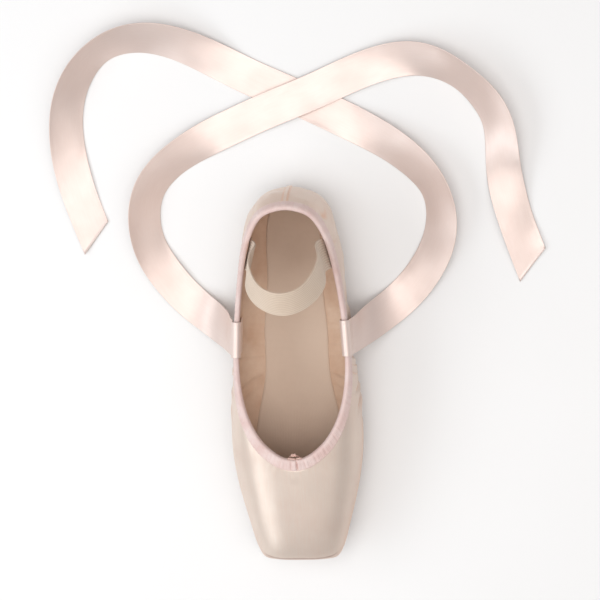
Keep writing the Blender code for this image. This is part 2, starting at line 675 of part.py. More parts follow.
def make_drawstring():
    """The drawstring's knot behind the throat, with its two ends tucked in under the vamp."""
    throat = last_surface(TOE_AT, 1.0).ravel()
    knot_centre = throat + np.array(KNOT_BEHIND_COLLAR)
    bpy.ops.mesh.primitive_uv_sphere_add(segments=12, ring_count=8, radius=KNOT_RADIUS * MM)
    knot = bpy.context.active_object
    knot.name = "drawstring_knot"
    knot.data.transform(((1, 0, 0, 0), (0, 1.35, 0, 0), (0, 0, 1, 0), (0, 0, 0, 1)))
    knot.data.shade_smooth()
    knot.location = move_to_origin(knot_centre)
    knot.data.materials.append(finish("drawstring_cord"))
    for side in (-1, 1):
        route = knot_centre + np.array([
            (0.0, 0.6 * side, 0.0),
            (1.2, 2.4 * side, -2.6),
            (4.6, 4.4 * side, -5.4),
            (9.0, 6.0 * side, -6.6),
            (13.0, 8.4 * side, -7.4),
        ])
        stations = chord_lengths(route)
        smooth = spline(stations, route, np.linspace(0.0, stations[-1], 9))
        curve = bpy.data.curves.new("drawstring_end", "CURVE")
        curve.dimensions = "3D"
        curve.bevel_depth = DRAWSTRING_DIAMETER / 2 * MM
        curve.bevel_resolution = 2
        curve.use_fill_caps = True
        line = curve.splines.new("POLY")
        line.points.add(len(smooth) - 1)
        line.points.foreach_set("co", np.column_stack([move_to_origin(smooth), np.ones(len(smooth))]).ravel())
        end = bpy.data.objects.new("drawstring_end", curve)
        bpy.context.scene.collection.objects.link(end)
        mesh = bpy.data.meshes.new_from_object(end.evaluated_get(bpy.context.evaluated_depsgraph_get()))
        bpy.data.objects.remove(end)
        cutter = bpy.data.objects.new(f"end_guide_{side}", mesh)
        bpy.context.scene.collection.objects.link(cutter)
        cutter.hide_render = True
        cutter.display_type = "WIRE"
        union = knot.modifiers.new("end", "BOOLEAN")
        union.operation = "UNION"
        union.object = cutter
    return knot


def main():
    clear_scene()
    places = places_round()
    make_upper(places)
    make_collar_binding(places)
    make_outsole()
    make_insole(places)
    make_elastic()
    make_ribbons()
    make_drawstring()


main()
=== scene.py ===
"""The looks of a pale peach satin pointe shoe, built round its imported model.

Sizes are in millimetres, with x measured from the back of the heel towards the toe, y to the left and z up
from the floor. place() turns them into the frame's metres when a mesh is made.
"""

import math

import bmesh
import bpy
import numpy as np
from mathutils import Matrix, Vector


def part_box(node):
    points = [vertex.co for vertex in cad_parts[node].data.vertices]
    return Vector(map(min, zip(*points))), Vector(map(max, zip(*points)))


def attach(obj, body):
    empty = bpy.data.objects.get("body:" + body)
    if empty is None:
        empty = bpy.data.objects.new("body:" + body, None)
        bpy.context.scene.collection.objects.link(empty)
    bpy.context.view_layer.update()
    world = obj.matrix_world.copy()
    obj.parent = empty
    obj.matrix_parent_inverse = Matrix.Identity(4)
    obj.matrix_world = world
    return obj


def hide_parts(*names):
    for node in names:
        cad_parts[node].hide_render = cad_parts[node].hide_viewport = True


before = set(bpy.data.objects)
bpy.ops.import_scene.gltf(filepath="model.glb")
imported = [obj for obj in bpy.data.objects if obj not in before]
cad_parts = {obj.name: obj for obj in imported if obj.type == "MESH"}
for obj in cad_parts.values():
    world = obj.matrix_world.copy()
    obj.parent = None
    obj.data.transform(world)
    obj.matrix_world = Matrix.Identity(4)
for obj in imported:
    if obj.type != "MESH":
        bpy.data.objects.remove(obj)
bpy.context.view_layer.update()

MM = 0.001
SEED = 7

# The last, as in the model
SHOE_LENGTH = 235.0
BALL_WIDTH = 82.0
INSTEP_HEIGHT = 50.4
HEEL_HEIGHT = 57.0
SIDE_HEIGHT = 42.6
QUARTER_WALL = 1.8
BOX_WALL = 2.6
BOX_BLEND_X = (118.0, 168.0)
LASTING_MARGIN = 5.0
PIECE_GAP = 0.3
SIDE_SEAM_X = 114.0
SIDE_SEAM = (2.3, 0.45)
HEEL_SEAM = (1.0, 0.6)
SEAM_RAMP = 0.45
SEAM_FADE = (0.12, 0.26)
SEAM_STITCH_AT = 1.35
SEAM_DIMPLE = 0.035
BINDING_WIDTH = 7.0
SOLE_THICKNESS = 3.0
SOLE_TIP_THICKNESS = 2.0
PLATFORM_EDGE_Z = 33.0
ARCH_RISE = 2.4
ARCH_X = (50.0, 90.0, 130.0)
TOE_SPRING = 1.6
TOE_SPRING_X = (188.0, 209.0)

SECTION_COLUMNS = (
    "sole_x", "sole_y", "wide_x", "wide_y", "wide_z", "under_z", "shoulder_z",
    "collar_x", "collar_y", "rise", "low_fullness", "high_fullness",
)
SECTIONS = (
    # sole        widest             corners      collar               fullness
    (2.5, 0.0,    0.0, 0.0, 44.0,    8.0, 80.0,   4.2, 0.0, 1.00,      0.66, 0.62),
    (2.8, 16.0,   0.6, 23.0, 44.0,   8.0, 80.0,   4.8, 20.0, 0.96,     0.66, 0.62),
    (4.2, 30.0,   2.8, 46.0, 44.0,   8.0, 78.0,   6.6, 39.0, 0.83,     0.65, 0.62),
    (8.5, 37.0,   7.2, 63.0, 43.0,   8.5, 75.0,   11.0, 55.0, 0.60,    0.63, 0.62),
    (16.0, 39.0,  15.5, 75.0, 42.0,  9.5, 70.0,   18.5, 68.0, 0.34,    0.60, 0.62),
    (26.5, 38.0,  26.5, 81.0, 41.0,  11.5, 67.0,  27.5, 77.0, 0.13,    0.57, 0.62),
    (38.5, 38.0,  38.5, 87.0, 40.0,  13.0, 66.0,  37.5, 83.0, 0.02,    0.55, 0.62),
    (49.5, 43.0,  49.5, 94.0, 40.0,  12.5, 66.0,  46.5, 83.5, 0.00,    0.56, 0.62),
    (59.5, 55.0,  59.5, 99.0, 40.0,  11.0, 72.0,  54.0, 77.5, 0.20,    0.60, 0.60),
    (68.0, 63.0,  68.5, 100.0, 40.0, 9.5, 78.8,   60.0, 66.5, 0.48,    0.66, 0.57),
    (75.5, 62.0,  76.5, 95.0, 40.0,  9.5, 78.3,   64.3, 53.0, 0.70,    0.74, 0.60),
    (81.5, 54.0,  85.0, 84.5, 39.0,  10.5, 76.8,  67.0, 39.0, 0.85,    0.80, 0.64),
    (85.5, 42.0,  92.0, 74.0, 38.0,  11.5, 74.4,  68.7, 26.5, 0.93,    0.86, 0.67),
    (87.7, 28.0,  98.1, 62.3, 37.0,  12.0, 71.5,  69.6, 16.5, 0.98,    0.91, 0.70),
    (88.1, 23.7,  99.5, 56.0, 37.0,  12.0, 71.0,  69.75, 14.0, 0.985,  0.92, 0.75),
    (88.55, 16.9, 99.97, 40.0, 37.0, 12.0, 72.0,  69.9, 9.9, 0.995,    0.92, 0.89),
    (89.0, 0.0,   100.0, 0.0, 37.0,  12.0, 74.9,  70.1, 0.0, 1.00,     0.92, 0.95),
)
LOWER_SHARE = 0.4

# Creases of the satin. x is that of the upper's widest point, and up runs from the sole's edge at 0
# to the collar at 1. A crease runs through its three points, sinks by depth and throws up a lip on one side.
CREASE_COLUMNS = (
    "side", "x0", "up0", "x1", "up1", "x2", "up2", "width", "depth", "lip", "fade_in", "fade_out",
)
CREASES = (
    # left quarter, behind the seam, collar to sole
    (1, 107.0, 0.12, 105.0, 0.45, 104.5, 0.84, 1.7, 1.25, 0.60, 0.05, 0.25),
    (1, 99.5, 0.11, 97.0, 0.45, 95.0, 0.80, 2.1, 1.35, 0.70, 0.05, 0.30),
    (1, 89.0, 0.11, 86.5, 0.38, 82.0, 0.68, 2.4, 1.00, 0.50, 0.05, 0.45),
    (1, 76.0, 0.12, 73.0, 0.34, 66.0, 0.55, 2.8, 0.75, 0.35, 0.10, 0.50),
    (1, 60.0, 0.13, 58.0, 0.32, 51.0, 0.50, 3.0, 0.60, 0.30, 0.15, 0.50),
    (1, 44.0, 0.13, 40.0, 0.30, 33.0, 0.46, 3.0, 0.55, 0.30, 0.15, 0.50),
    (1, 92.5, 0.62, 88.0, 0.70, 80.0, 0.76, 1.6, 0.50, 0.25, 0.35, 0.45),
    (1, 27.0, 0.84, 30.0, 0.68, 26.0, 0.50, 2.3, 0.60, 0.35, 0.25, 0.45),
    (1, 12.0, 0.82, 13.5, 0.68, 9.5, 0.54, 2.0, 0.50, 0.30, 0.25, 0.45),
    # left, fanning forward from the foot of the seam
    (1, 117.5, 0.11, 129.0, 0.40, 146.0, 0.78, 2.2, 1.90, 1.00, 0.03, 0.50),
    (1, 118.5, 0.26, 124.5, 0.52, 132.0, 0.82, 1.6, 1.10, 0.60, 0.10, 0.40),
    (1, 123.0, 0.11, 137.0, 0.30, 154.0, 0.50, 2.3, 1.10, 0.55, 0.04, 0.55),
    (1, 133.0, 0.12, 146.0, 0.22, 160.0, 0.30, 2.4, 0.60, 0.30, 0.08, 0.60),
    # right quarter
    (-1, 107.0, 0.12, 105.5, 0.42, 103.5, 0.82, 1.7, 1.20, 0.60, 0.05, 0.25),
    (-1, 98.5, 0.11, 95.5, 0.42, 93.0, 0.78, 2.2, 1.30, 0.65, 0.05, 0.30),
    (-1, 87.0, 0.11, 84.0, 0.40, 79.0, 0.70, 2.4, 0.95, 0.50, 0.05, 0.45),
    (-1, 73.0, 0.12, 70.5, 0.38, 64.0, 0.60, 2.8, 0.75, 0.35, 0.10, 0.45),
    (-1, 57.0, 0.13, 53.0, 0.33, 47.0, 0.52, 3.0, 0.60, 0.30, 0.15, 0.50),
    (-1, 40.0, 0.14, 37.0, 0.30, 29.0, 0.44, 3.0, 0.50, 0.25, 0.15, 0.50),
    (-1, 90.0, 0.60, 84.0, 0.68, 77.0, 0.72, 1.7, 0.45, 0.25, 0.35, 0.45),
    (-1, 23.0, 0.84, 25.5, 0.66, 21.0, 0.48, 2.3, 0.60, 0.35, 0.25, 0.45),
    (-1, 9.0, 0.82, 8.5, 0.68, 6.0, 0.56, 2.0, 0.45, 0.30, 0.25, 0.45),
    # right, fanning forward
    (-1, 117.5, 0.11, 130.0, 0.38, 149.0, 0.72, 2.3, 1.80, 0.95, 0.03, 0.50),
    (-1, 119.0, 0.30, 126.0, 0.56, 134.0, 0.84, 1.6, 1.05, 0.55, 0.10, 0.40),
    (-1, 125.0, 0.12, 140.0, 0.33, 157.0, 0.52, 2.4, 1.00, 0.50, 0.04, 0.55),
)
# Lines round the toe by their distance from the middle of the toe along the outline
TOE_CREASES = (
    # start        middle         end            width depth lip  fades
    (-25.0, 0.545, 0.0, 0.588,    25.0, 0.545,   0.60, 0.32, 0.12, 0.12, 0.12),
    (5.0, 0.02,    10.0, 0.12,    20.0, 0.27,    1.1, 0.45, 0.30, 0.05, 0.25),
    (-9.0, 0.03,   -13.0, 0.12,   -17.0, 0.22,   1.3, 0.25, 0.15, 0.10, 0.40),
)
# Short faint creases across the vamp under the throat: x, then y from and to
THROAT_CREASES = ((175.9, -3.6, 4.2), (178.9, -2.8, 3.8), (182.4, -3.2, 2.4))
# Their width, depth, lip and fades
THROAT_SHAPE = (0.75, 0.20, 0.13, 0.4, 0.4)

# Colours as linear red, green, blue
SATIN_PALE = (0.745, 0.63, 0.545)
SATIN_DEEP_AND_SHADE = (0.72, 0.40, 0.25)
SATIN_ROSE = (0.6, 0.445, 0.38)
SATIN_FOLD_SHADE = (0.36, 0.21, 0.18)
SHEEN_TINT = (1.0, 0.76, 0.6)
TAPE_PINK = (0.78, 0.635, 0.60)
TAPE_SHADE = (0.66, 0.44, 0.40)
LINING_COLOUR = (0.72, 0.54, 0.41)
LINING_SHADE = (0.60, 0.40, 0.28)
CORD_COLOUR = (0.80, 0.53, 0.45)
SOLE_TAN = (0.335, 0.225, 0.18)
SOLE_DARK = (0.19, 0.115, 0.085)
SOLE_EDGE = (0.86, 0.56, 0.40)
LEATHER_MOTTLE = (0.40, 0.285, 0.235)
LEATHER_SCUFF = (0.56, 0.45, 0.39)
INSOLE_COLOUR = (0.70, 0.56, 0.45)
INSOLE_WORN = (0.46, 0.33, 0.25)
ELASTIC_COLOUR = (0.74, 0.61, 0.49)
ELASTIC_MOTTLE = (0.66, 0.52, 0.40)
ELASTIC_SHADE = (0.58, 0.45, 0.35)
RIBBON_COLOUR = (0.79, 0.655, 0.60)
RIBBON_DEEP = (0.70, 0.49, 0.41)
RIBBON_ROSE = (0.68, 0.52, 0.46)
STITCH_COLOUR = (0.86, 0.70, 0.60)
FLOOR_COLOUR = (0.88, 0.872, 0.868)
FLOOR_MOTTLE = (0.86, 0.85, 0.842)


def smooth_step(low, high, x):
    """Nought up to low, one from high on, and 3 t squared less 2 t cubed between them."""
    t = np.clip((np.asarray(x, float) - low) / (high - low), 0.0, 1.0)
    return t * t * (3 - 2 * t)


def bump_at(x, centre, width):
    """One at centre and nought a few widths away: the exponential of minus the distance squared."""
    return np.exp(-(((np.asarray(x, float) - centre) / width) ** 2))


def unit(vectors):
    return vectors / np.maximum(np.linalg.norm(vectors, axis=-1, keepdims=True), 1e-12)


def running_sum(steps):
    return np.concatenate([[0.0], np.cumsum(steps)])


def chord_lengths(points):
    return running_sum(np.linalg.norm(np.diff(points, axis=0), axis=1))


def along_line(at, lengths, points):
    """Points of a line at given lengths along it, straight between its own points."""
    return np.stack([np.interp(at, lengths, column) for column in points.T], axis=-1)


def spline_bends(knots, values, closed):
    """Second derivatives at the knots of a cubic spline, closed or with free ends."""
    count = len(knots)
    gaps = np.diff(knots)
    matrix = np.eye(count)
    right = np.zeros_like(values)
    for i in range(1, count - 1):
        matrix[i, i - 1:i + 2] = gaps[i - 1], 2 * (gaps[i - 1] + gaps[i]), gaps[i]
        right[i] = 6 * ((values[i + 1] - values[i]) / gaps[i] - (values[i] - values[i - 1]) / gaps[i - 1])
    if closed:
        matrix[0, -1] = -1.0
        matrix[-1, :] = 0.0
        matrix[-1, [-2, -1]] = gaps[-1], 2 * gaps[-1]
        matrix[-1, [0, 1]] += 2 * gaps[0], gaps[0]
        right[-1] = 6 * ((values[1] - values[0]) / gaps[0] - (values[-1] - values[-2]) / gaps[-1])
    return np.linalg.solve(matrix, right)


def spline(knots, values, at, closed=False):
    """A cubic spline with continuous curvature through values at knots. Rows of values are points."""
    knots = np.asarray(knots, float)
    values = np.asarray(values, float)
    bends = spline_bends(knots, values, closed)
    at = np.asarray(at, float)
    if closed:
        at = knots[0] + np.mod(at - knots[0], knots[-1] - knots[0])
    i = np.clip(np.searchsorted(knots, at, side="right") - 1, 0, len(knots) - 2)
    gap = (knots[i + 1] - knots[i])[..., None]
    a = (knots[i + 1] - at)[..., None] / gap
    b = 1 - a
    curved = ((a ** 3 - a) * bends[i] + (b ** 3 - b) * bends[i + 1]) * gap ** 2 / 6
    return a * values[i] + b * values[i + 1] + curved


def section_table():
    """The sections all the way round in millimetres, left side first, and their places on the outline."""
    rows = np.array(SECTIONS)
    rise = SECTION_COLUMNS.index("rise")
    for ending, scale in (("_x", SHOE_LENGTH / 100), ("_y", BALL_WIDTH / 200), ("_z", INSTEP_HEIGHT / 100)):
        rows[:, [name.endswith(ending) for name in SECTION_COLUMNS]] *= scale
    lowest = int(rows[:, rise].argmin())
    end_height = np.where(np.arange(len(rows)) < lowest, HEEL_HEIGHT, INSTEP_HEIGHT)
    rows[:, rise] = SIDE_HEIGHT + rows[:, rise] * (end_height - SIDE_HEIGHT)
    other_side = rows[-2::-1].copy()
    other_side[:, [name.endswith("_y") for name in SECTION_COLUMNS]] *= -1
    table = np.vstack([rows, other_side])
    wide = [SECTION_COLUMNS.index(c) for c in ("wide_x", "wide_y")]
    return chord_lengths(table[:, wide]), table


KNOTS, TABLE = section_table()
OUTLINE_LENGTH = KNOTS[-1]
TOE_AT = OUTLINE_LENGTH / 2


def sole_bottom(x):
    """Height of the sole's tread: flat under heel and ball, arched between them, sprung at the tip."""
    start, top, end = ARCH_X
    arch = smooth_step(start, top, x) * (1 - smooth_step(top, end, x))
    return ARCH_RISE * arch + TOE_SPRING * smooth_step(*TOE_SPRING_X, x) ** 2


def sole_top(x):
    """Height of the sole's upper face, which comes down to the tread towards the tip."""
    thinning = smooth_step(*TOE_SPRING_X, x)
    return sole_bottom(x) + SOLE_THICKNESS + (SOLE_TIP_THICKNESS - SOLE_THICKNESS) * thinning


def rounded_corner(start, corner, end, fullness, t):
    """A cubic curve from start to end that leaves both towards the corner and fills it by that share."""
    fullness = fullness[..., None]
    t = t[..., None]
    first = start + fullness * (corner - start)
    second = end + fullness * (corner - end)
    return (
        (1 - t) ** 3 * start + 3 * t * (1 - t) ** 2 * first
        + 3 * t ** 2 * (1 - t) * second + t ** 3 * end
    )


def last_surface(at, up):
    """A point of the last: two rounded corners joined at the widest point. at goes round the outline in
    millimetres, and up goes from the feather edge at 0 to the collar at 1."""
    at, up = np.broadcast_arrays(np.asarray(at, float), np.asarray(up, float))
    row = dict(zip(SECTION_COLUMNS, np.moveaxis(spline(KNOTS, TABLE, at, closed=True), -1, 0)))
    sole, wide, collar = (
        np.stack([row[line + "_x"], row[line + "_y"]], axis=-1) for line in ("sole", "wide", "collar")
    )
    feather = sole - LASTING_MARGIN * unit(wide - sole)
    feather_z = sole_top(feather[..., 0]) + PIECE_GAP

    def point(plan, height):
        return np.concatenate([plan, height[..., None]], axis=-1)

    widest = point(wide, row["wide_z"])
    lower = rounded_corner(
        point(feather, feather_z), point(wide, np.maximum(row["under_z"], feather_z)), widest,
        row["low_fullness"], np.clip(up / LOWER_SHARE, 0, 1),
    )
    upper = rounded_corner(
        widest, point(wide, row["shoulder_z"]), point(collar, row["rise"]),
        row["high_fullness"], np.clip((up - LOWER_SHARE) / (1 - LOWER_SHARE), 0, 1),
    )
    return np.where((up < LOWER_SHARE)[..., None], lower, upper)


def outward_normal(at, up):
    """Unit normal of the last: the cross product of its slopes up the section and round the outline."""
    step = 0.004
    at, up = np.broadcast_arrays(np.asarray(at, float), np.asarray(up, float))
    climb = last_surface(at, np.minimum(up + step, 1.0)) - last_surface(at, np.maximum(up - step, 0.0))
    round_it = last_surface(at + 0.5, up) - last_surface(at - 0.5, up)
    return unit(np.cross(climb, round_it))


def wall(x):
    """Thickness of the upper: thin at the quarters, thicker in the toe box, blended between them."""
    return QUARTER_WALL + (BOX_WALL - QUARTER_WALL) * smooth_step(*BOX_BLEND_X, x)


def levels_below_collar(at, distances):
    """How far up each section lies the point that is that distance short of the collar along it."""
    fine = np.linspace(LOWER_SHARE, 1.0, 121)
    sections = last_surface(at[:, None], fine[None, :])
    steps = np.linalg.norm(np.diff(sections, axis=1), axis=-1)
    along = np.concatenate([np.zeros((len(at), 1)), np.cumsum(steps, axis=1)], axis=1)
    target = along[:, -1:] - np.asarray(distances, float)[None, :]
    i = np.clip((along[:, None, :] < target[:, :, None]).sum(-1) - 1, 0, len(fine) - 2)
    low = np.take_along_axis(along, i, axis=1)
    high = np.take_along_axis(along, i + 1, axis=1)
    return fine[i] + (target - low) / (high - low) * (fine[1] - fine[0])


def place_of_x(x, side=1, up=LOWER_SHARE):
    """Where along the outline of that side the last has that x, at the widest point or higher up."""
    fine = np.linspace(0.0, TOE_AT, 800)
    at = np.interp(x, last_surface(fine, up)[:, 0], fine)
    return at if side > 0 else OUTLINE_LENGTH - at


SEAMS = (
    (0.0, *HEEL_SEAM),
    (place_of_x(SIDE_SEAM_X), *SIDE_SEAM),
    (place_of_x(SIDE_SEAM_X, -1), *SIDE_SEAM),
)


def distance_round(at, centre):
    """Signed shortest way along the closed outline."""
    return (at - centre + OUTLINE_LENGTH / 2) % OUTLINE_LENGTH - OUTLINE_LENGTH / 2


def seam_step(at, up):
    """How far the seams raise the satin: a flat band with soft edges, and a fine line where they join."""
    raised = np.zeros_like(at)
    for centre, half_width, height in SEAMS:
        away = np.abs(distance_round(at, centre))
        raised += height * (1 - smooth_step(half_width, half_width + SEAM_RAMP, away))
        if height < HEEL_SEAM[1]:
            quilt = 0.5 - 0.5 * np.cos(2 * math.pi * up / SEAM_DIMPLE)
            raised -= 0.16 * bump_at(away, SEAM_STITCH_AT, 0.45) * (0.35 + 0.65 * quilt)
    return raised * smooth_step(*SEAM_FADE, up)


def wobble(points, wavelength, seed):
    """Soft random hills between about -1 and 1: a sum of sine waves in fixed random directions."""
    random = np.random.default_rng(SEED + seed)
    total = np.zeros(points.shape[:-1])
    for _ in range(9):
        wave = unit(random.normal(size=3)) * 2 * math.pi / (wavelength * random.uniform(0.7, 1.5))
        total += np.sin(points @ wave + random.uniform(0, 2 * math.pi))
    return total / 4.2


def crease_paths():
    """Each crease as points on the last, with its width, depth, lip and fades."""
    t = np.linspace(0.0, 1.0, 60)
    weights = ((1 - t) * (1 - 2 * t), 4 * t * (1 - t), t * (2 * t - 1))
    paths = []
    for row in CREASES:
        c = dict(zip(CREASE_COLUMNS, row))
        at = sum(w * place_of_x(c[x], c["side"]) for w, x in zip(weights, ("x0", "x1", "x2")))
        up = sum(w * c[u] for w, u in zip(weights, ("up0", "up1", "up2")))
        paths.append((last_surface(at, up), outward_normal(at, up), c["side"], *row[7:]))
    for at0, up0, at1, up1, at2, up2, *shape in TOE_CREASES:
        at = TOE_AT + sum(w * a for w, a in zip(weights, (at0, at1, at2)))
        up = sum(w * u for w, u in zip(weights, (up0, up1, up2)))
        paths.append((last_surface(at, up), outward_normal(at, up), 1, *shape))
    top = last_surface(TOE_AT, np.linspace(0.75, 1.0, 80))[::-1]
    for x, y0, y1 in THROAT_CREASES:
        y = np.linspace(y0, y1, 24)
        z = np.interp(x, top[:, 0], top[:, 2])
        points = np.stack([x + 0.02 * y ** 2, y, np.full_like(y, z) - 0.006 * y ** 2], axis=-1)
        paths.append((points, np.tile([0.0, 0.0, 1.0], (24, 1)), 1, *THROAT_SHAPE))
    return paths


CREASE_PATHS = crease_paths()


def crease_depth(points):
    """How far creases push the satin. Across a crease it is a trough, the exponential of minus the distance
    squared, and a lip on its toe side. Along it the trough fades in and out."""
    depth = np.zeros(points.shape[:-1])
    for path, normals, side, width, sink, lip, fade_in, fade_out in CREASE_PATHS:
        low = path.min(axis=0) - 3.5 * width
        high = path.max(axis=0) + 3.5 * width
        near = np.all((points > low) & (points < high), axis=-1)
        if not near.any():
            continue
        close = points[near]
        gaps = close[:, None, :] - path[None, :, :]
        distance = np.linalg.norm(gaps, axis=-1)
        nearest = distance.argmin(axis=1)
        pick = np.arange(len(close))
        away = distance[pick, nearest]
        across = np.cross(normals, unit(np.gradient(path, axis=0))) * side
        toe_side = np.sign((gaps[pick, nearest] * across[nearest]).sum(-1))
        share = nearest / (len(path) - 1)
        strength = smooth_step(0.0, max(fade_in, 1e-3), share + 0.5 * fade_in)
        strength = strength * (1 - smooth_step(1 - fade_out, 1.0, share))
        trough = -sink * bump_at(away, 0.0, width)
        ridge = lip * bump_at(away * toe_side, 1.55 * width, 0.95 * width)
        back = 0.5 * lip * bump_at(away * toe_side, -1.7 * width, 1.1 * width)
        depth[near] += strength * (trough + ridge + back)
    return depth


# Heights of the puckers under the tape, round the shoe and at the throat, and of the pleats over the sole
PUCKER_ROUND = 0.085
PUCKER_AT_THROAT = 0.14
PLEAT_HEIGHT = 0.30


def gathers(at, points, up):
    """Small puckers where the satin is drawn up: along the binding, and where it turns under the sole."""
    collar = last_surface(at, 1.0)
    below = np.linalg.norm(points - collar, axis=-1) - BINDING_WIDTH
    near_tape = np.exp(-np.maximum(below, 0.0) / 2.6) * smooth_step(-0.9, 0.6, below)
    throat = bump_at(collar[..., 1], 0.0, 13.0)
    ripple = np.sin(2 * math.pi * at / 4.3 + 1.7 * np.sin(at / 9.0))
    ripple = ripple + 0.6 * np.sin(2 * math.pi * at / 2.9 + 1.0)
    across = np.sin(collar[..., 1] * 2 * math.pi / 3.1 + 1.4 * np.sin(collar[..., 1] / 2.4))
    uneven = 1.0 + 0.7 * wobble(collar, 15.0, 7) + 0.35 * np.tanh(collar[..., 1] / 6.0)
    drawn = PUCKER_ROUND * ripple * (1 - throat) + PUCKER_AT_THROAT * across * throat
    foot = smooth_step(0.06, 0.16, up) * (1 - smooth_step(0.20, 0.34, up))
    behind_box = 1 - smooth_step(120.0, 150.0, points[..., 0])
    pleats = np.sin(2 * math.pi * at / 6.1 + 2.2 * np.sin(at / 17.0)) * np.sin(at / 23.0 + 0.6)
    return near_tape * uneven * drawn + PLEAT_HEIGHT * foot * behind_box * pleats


# Slack of the quarters, extra slack beside the seams and at the heel, and the faint unevenness of the box:
# height, wavelength and seed of each, and how it is stretched
QUARTER_SLACK = ((0.34, 24.0, 1), (0.17, 11.0, 2))
SEAM_SLACK = (0.26, 7.0, 5, (1.0, 0.22, 0.22))
HEEL_SLACK = (0.36, 13.0, 6, (1.0, 1.0, 0.6))
BOX_UNEVENNESS = ((0.07, 26.0, 3), (0.025, 8.0, 4))


def satin_depth(at, up, points):
    """How far the satin stands off the last: seams, creases, gathers and the slack of the quarters."""
    slack = 1 - smooth_step(110.0, 160.0, points[..., 0])
    held = smooth_step(0.05, 0.3, up) * (1 - smooth_step(0.86, 0.97, up))
    loose = sum(height * wobble(points, wavelength, seed) for height, wavelength, seed in QUARTER_SLACK)
    beside_seam = bump_at(points[..., 0], 101.0, 22.0)
    at_heel = 1 - smooth_step(30.0, 62.0, points[..., 0])
    for share, (height, wavelength, seed, stretch) in ((beside_seam, SEAM_SLACK), (at_heel, HEEL_SLACK)):
        loose += height * share * wobble(points * stretch, wavelength, seed)
    stiff = sum(height * wobble(points, wavelength, seed) for height, wavelength, seed in BOX_UNEVENNESS)
    creased = crease_depth(points) + gathers(at, points, up) + held * slack * loose + stiff
    return seam_step(at, up) + creased, creased


def thread_lines(points, at, side):
    """Where the satin's threads run, as UV in metres. U goes lengthwise: along the outline on the quarters,
    along the shoe on the vamp and down over the platform. V is the girth, counted from the instep's ridge."""
    x, y, z = np.moveaxis(points, -1, 0)
    half = np.minimum(at, OUTLINE_LENGTH - at)
    vamp = smooth_step(SIDE_SEAM_X - 6.0, SIDE_SEAM_X + 6.0, x)
    front = smooth_step(224.0, 234.0, x) * np.maximum(PLATFORM_EDGE_Z - z, 0.0)
    along = (1 - vamp) * (half - SEAMS[1][0] + SIDE_SEAM_X) + vamp * (x + front)
    ridge = np.interp(x, (165.0, 222.0, 235.0), (INSTEP_HEIGHT, 38.0, PLATFORM_EDGE_Z))
    hand = (1 - vamp) * side + vamp * np.tanh(y / 9.0)
    round_it = (1 - vamp) * side * 40.0 + vamp * y - hand * (z - ridge) * (1 - smooth_step(226.0, 234.0, x))
    return np.stack([along, round_it], axis=-1) * MM


def satin_surface(at, up):
    """The outer face of the upper: the last moved along its normal by satin_depth."""
    at, up = np.broadcast_arrays(np.asarray(at, float), np.asarray(up, float))
    points = last_surface(at, up)
    depth, _ = satin_depth(at, up, points)
    return points + outward_normal(at, up) * depth[..., None]


HEEL_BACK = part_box("upper")[0][0] / MM + HEEL_SEAM[1]


def place(points):
    """From millimetres measured at the back of the heel to the frame's metres."""
    return (np.asarray(points, float) + (HEEL_BACK, 0.0, 0.0)) * MM


def grid_faces(rows, columns, close_rows=False, close_columns=False):
    """Quads between neighbouring points of a grid. A closed way joins its last line to its first."""
    i, j = np.meshgrid(
        np.arange(rows if close_rows else rows - 1),
        np.arange(columns if close_columns else columns - 1), indexing="ij",
    )
    i, j = i.ravel(), j.ravel()
    i2, j2 = (i + 1) % rows, (j + 1) % columns
    faces = np.stack([i * columns + j, i2 * columns + j, i2 * columns + j2, i * columns + j2], axis=1)
    corners = np.stack([np.stack([i, i + 1, i + 1, i], 1), np.stack([j, j, j + 1, j + 1], 1)], axis=-1)
    return faces, corners


def sheet_uv(rings, along, corners):
    """UV in metres of a closed sheet: the length along its outline, and the mean length up its section."""
    climb = running_sum(np.linalg.norm(np.diff(rings, axis=0, append=rings[:1]), axis=-1).mean(axis=1))
    return np.stack([along, climb[corners[..., 0]]], axis=-1) * MM


def make_piece(name, points, faces, finishes, uv=None, face_finish=None, values=None):
    """A mesh object from whole arrays, with an optional UV for each corner and a value for each point."""
    mesh = bpy.data.meshes.new(name)
    mesh.vertices.add(len(points))
    mesh.vertices.foreach_set("co", place(points).astype(np.float32).ravel())
    mesh.loops.add(faces.size)
    mesh.loops.foreach_set("vertex_index", faces.astype(np.int32).ravel())
    mesh.polygons.add(len(faces))
    mesh.polygons.foreach_set("loop_start", np.arange(0, faces.size, faces.shape[1], dtype=np.int32))
    mesh.update(calc_edges=True)
    if uv is not None:
        layer = mesh.uv_layers.new(name="UVMap")
        layer.uv.foreach_set("vector", np.asarray(uv, np.float32).ravel())
    for key, value in (values or {}).items():
        attribute = mesh.attributes.new(key, "FLOAT", "POINT")
        attribute.data.foreach_set("value", np.asarray(value, np.float32).ravel())
    for finish in finishes:
        mesh.materials.append(finish)
    if face_finish is not None:
        mesh.polygons.foreach_set("material_index", np.asarray(face_finish, np.int32))
    mesh.shade_smooth()
    piece = bpy.data.objects.new(name, mesh)
    bpy.context.scene.collection.objects.link(piece)
    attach(piece, "root")
    return piece


def weld(piece, distance=0.002):
    """Merges points that lie on each other, as at a pole, and turns all faces outwards."""
    solid = bmesh.new()
    solid.from_mesh(piece.data)
    bmesh.ops.remove_doubles(solid, verts=solid.verts, dist=distance * MM)
    bmesh.ops.dissolve_degenerate(solid, edges=solid.edges, dist=distance * MM * 0.1)
    bmesh.ops.recalc_face_normals(solid, faces=solid.faces)
    solid.to_mesh(piece.data)
    solid.free()


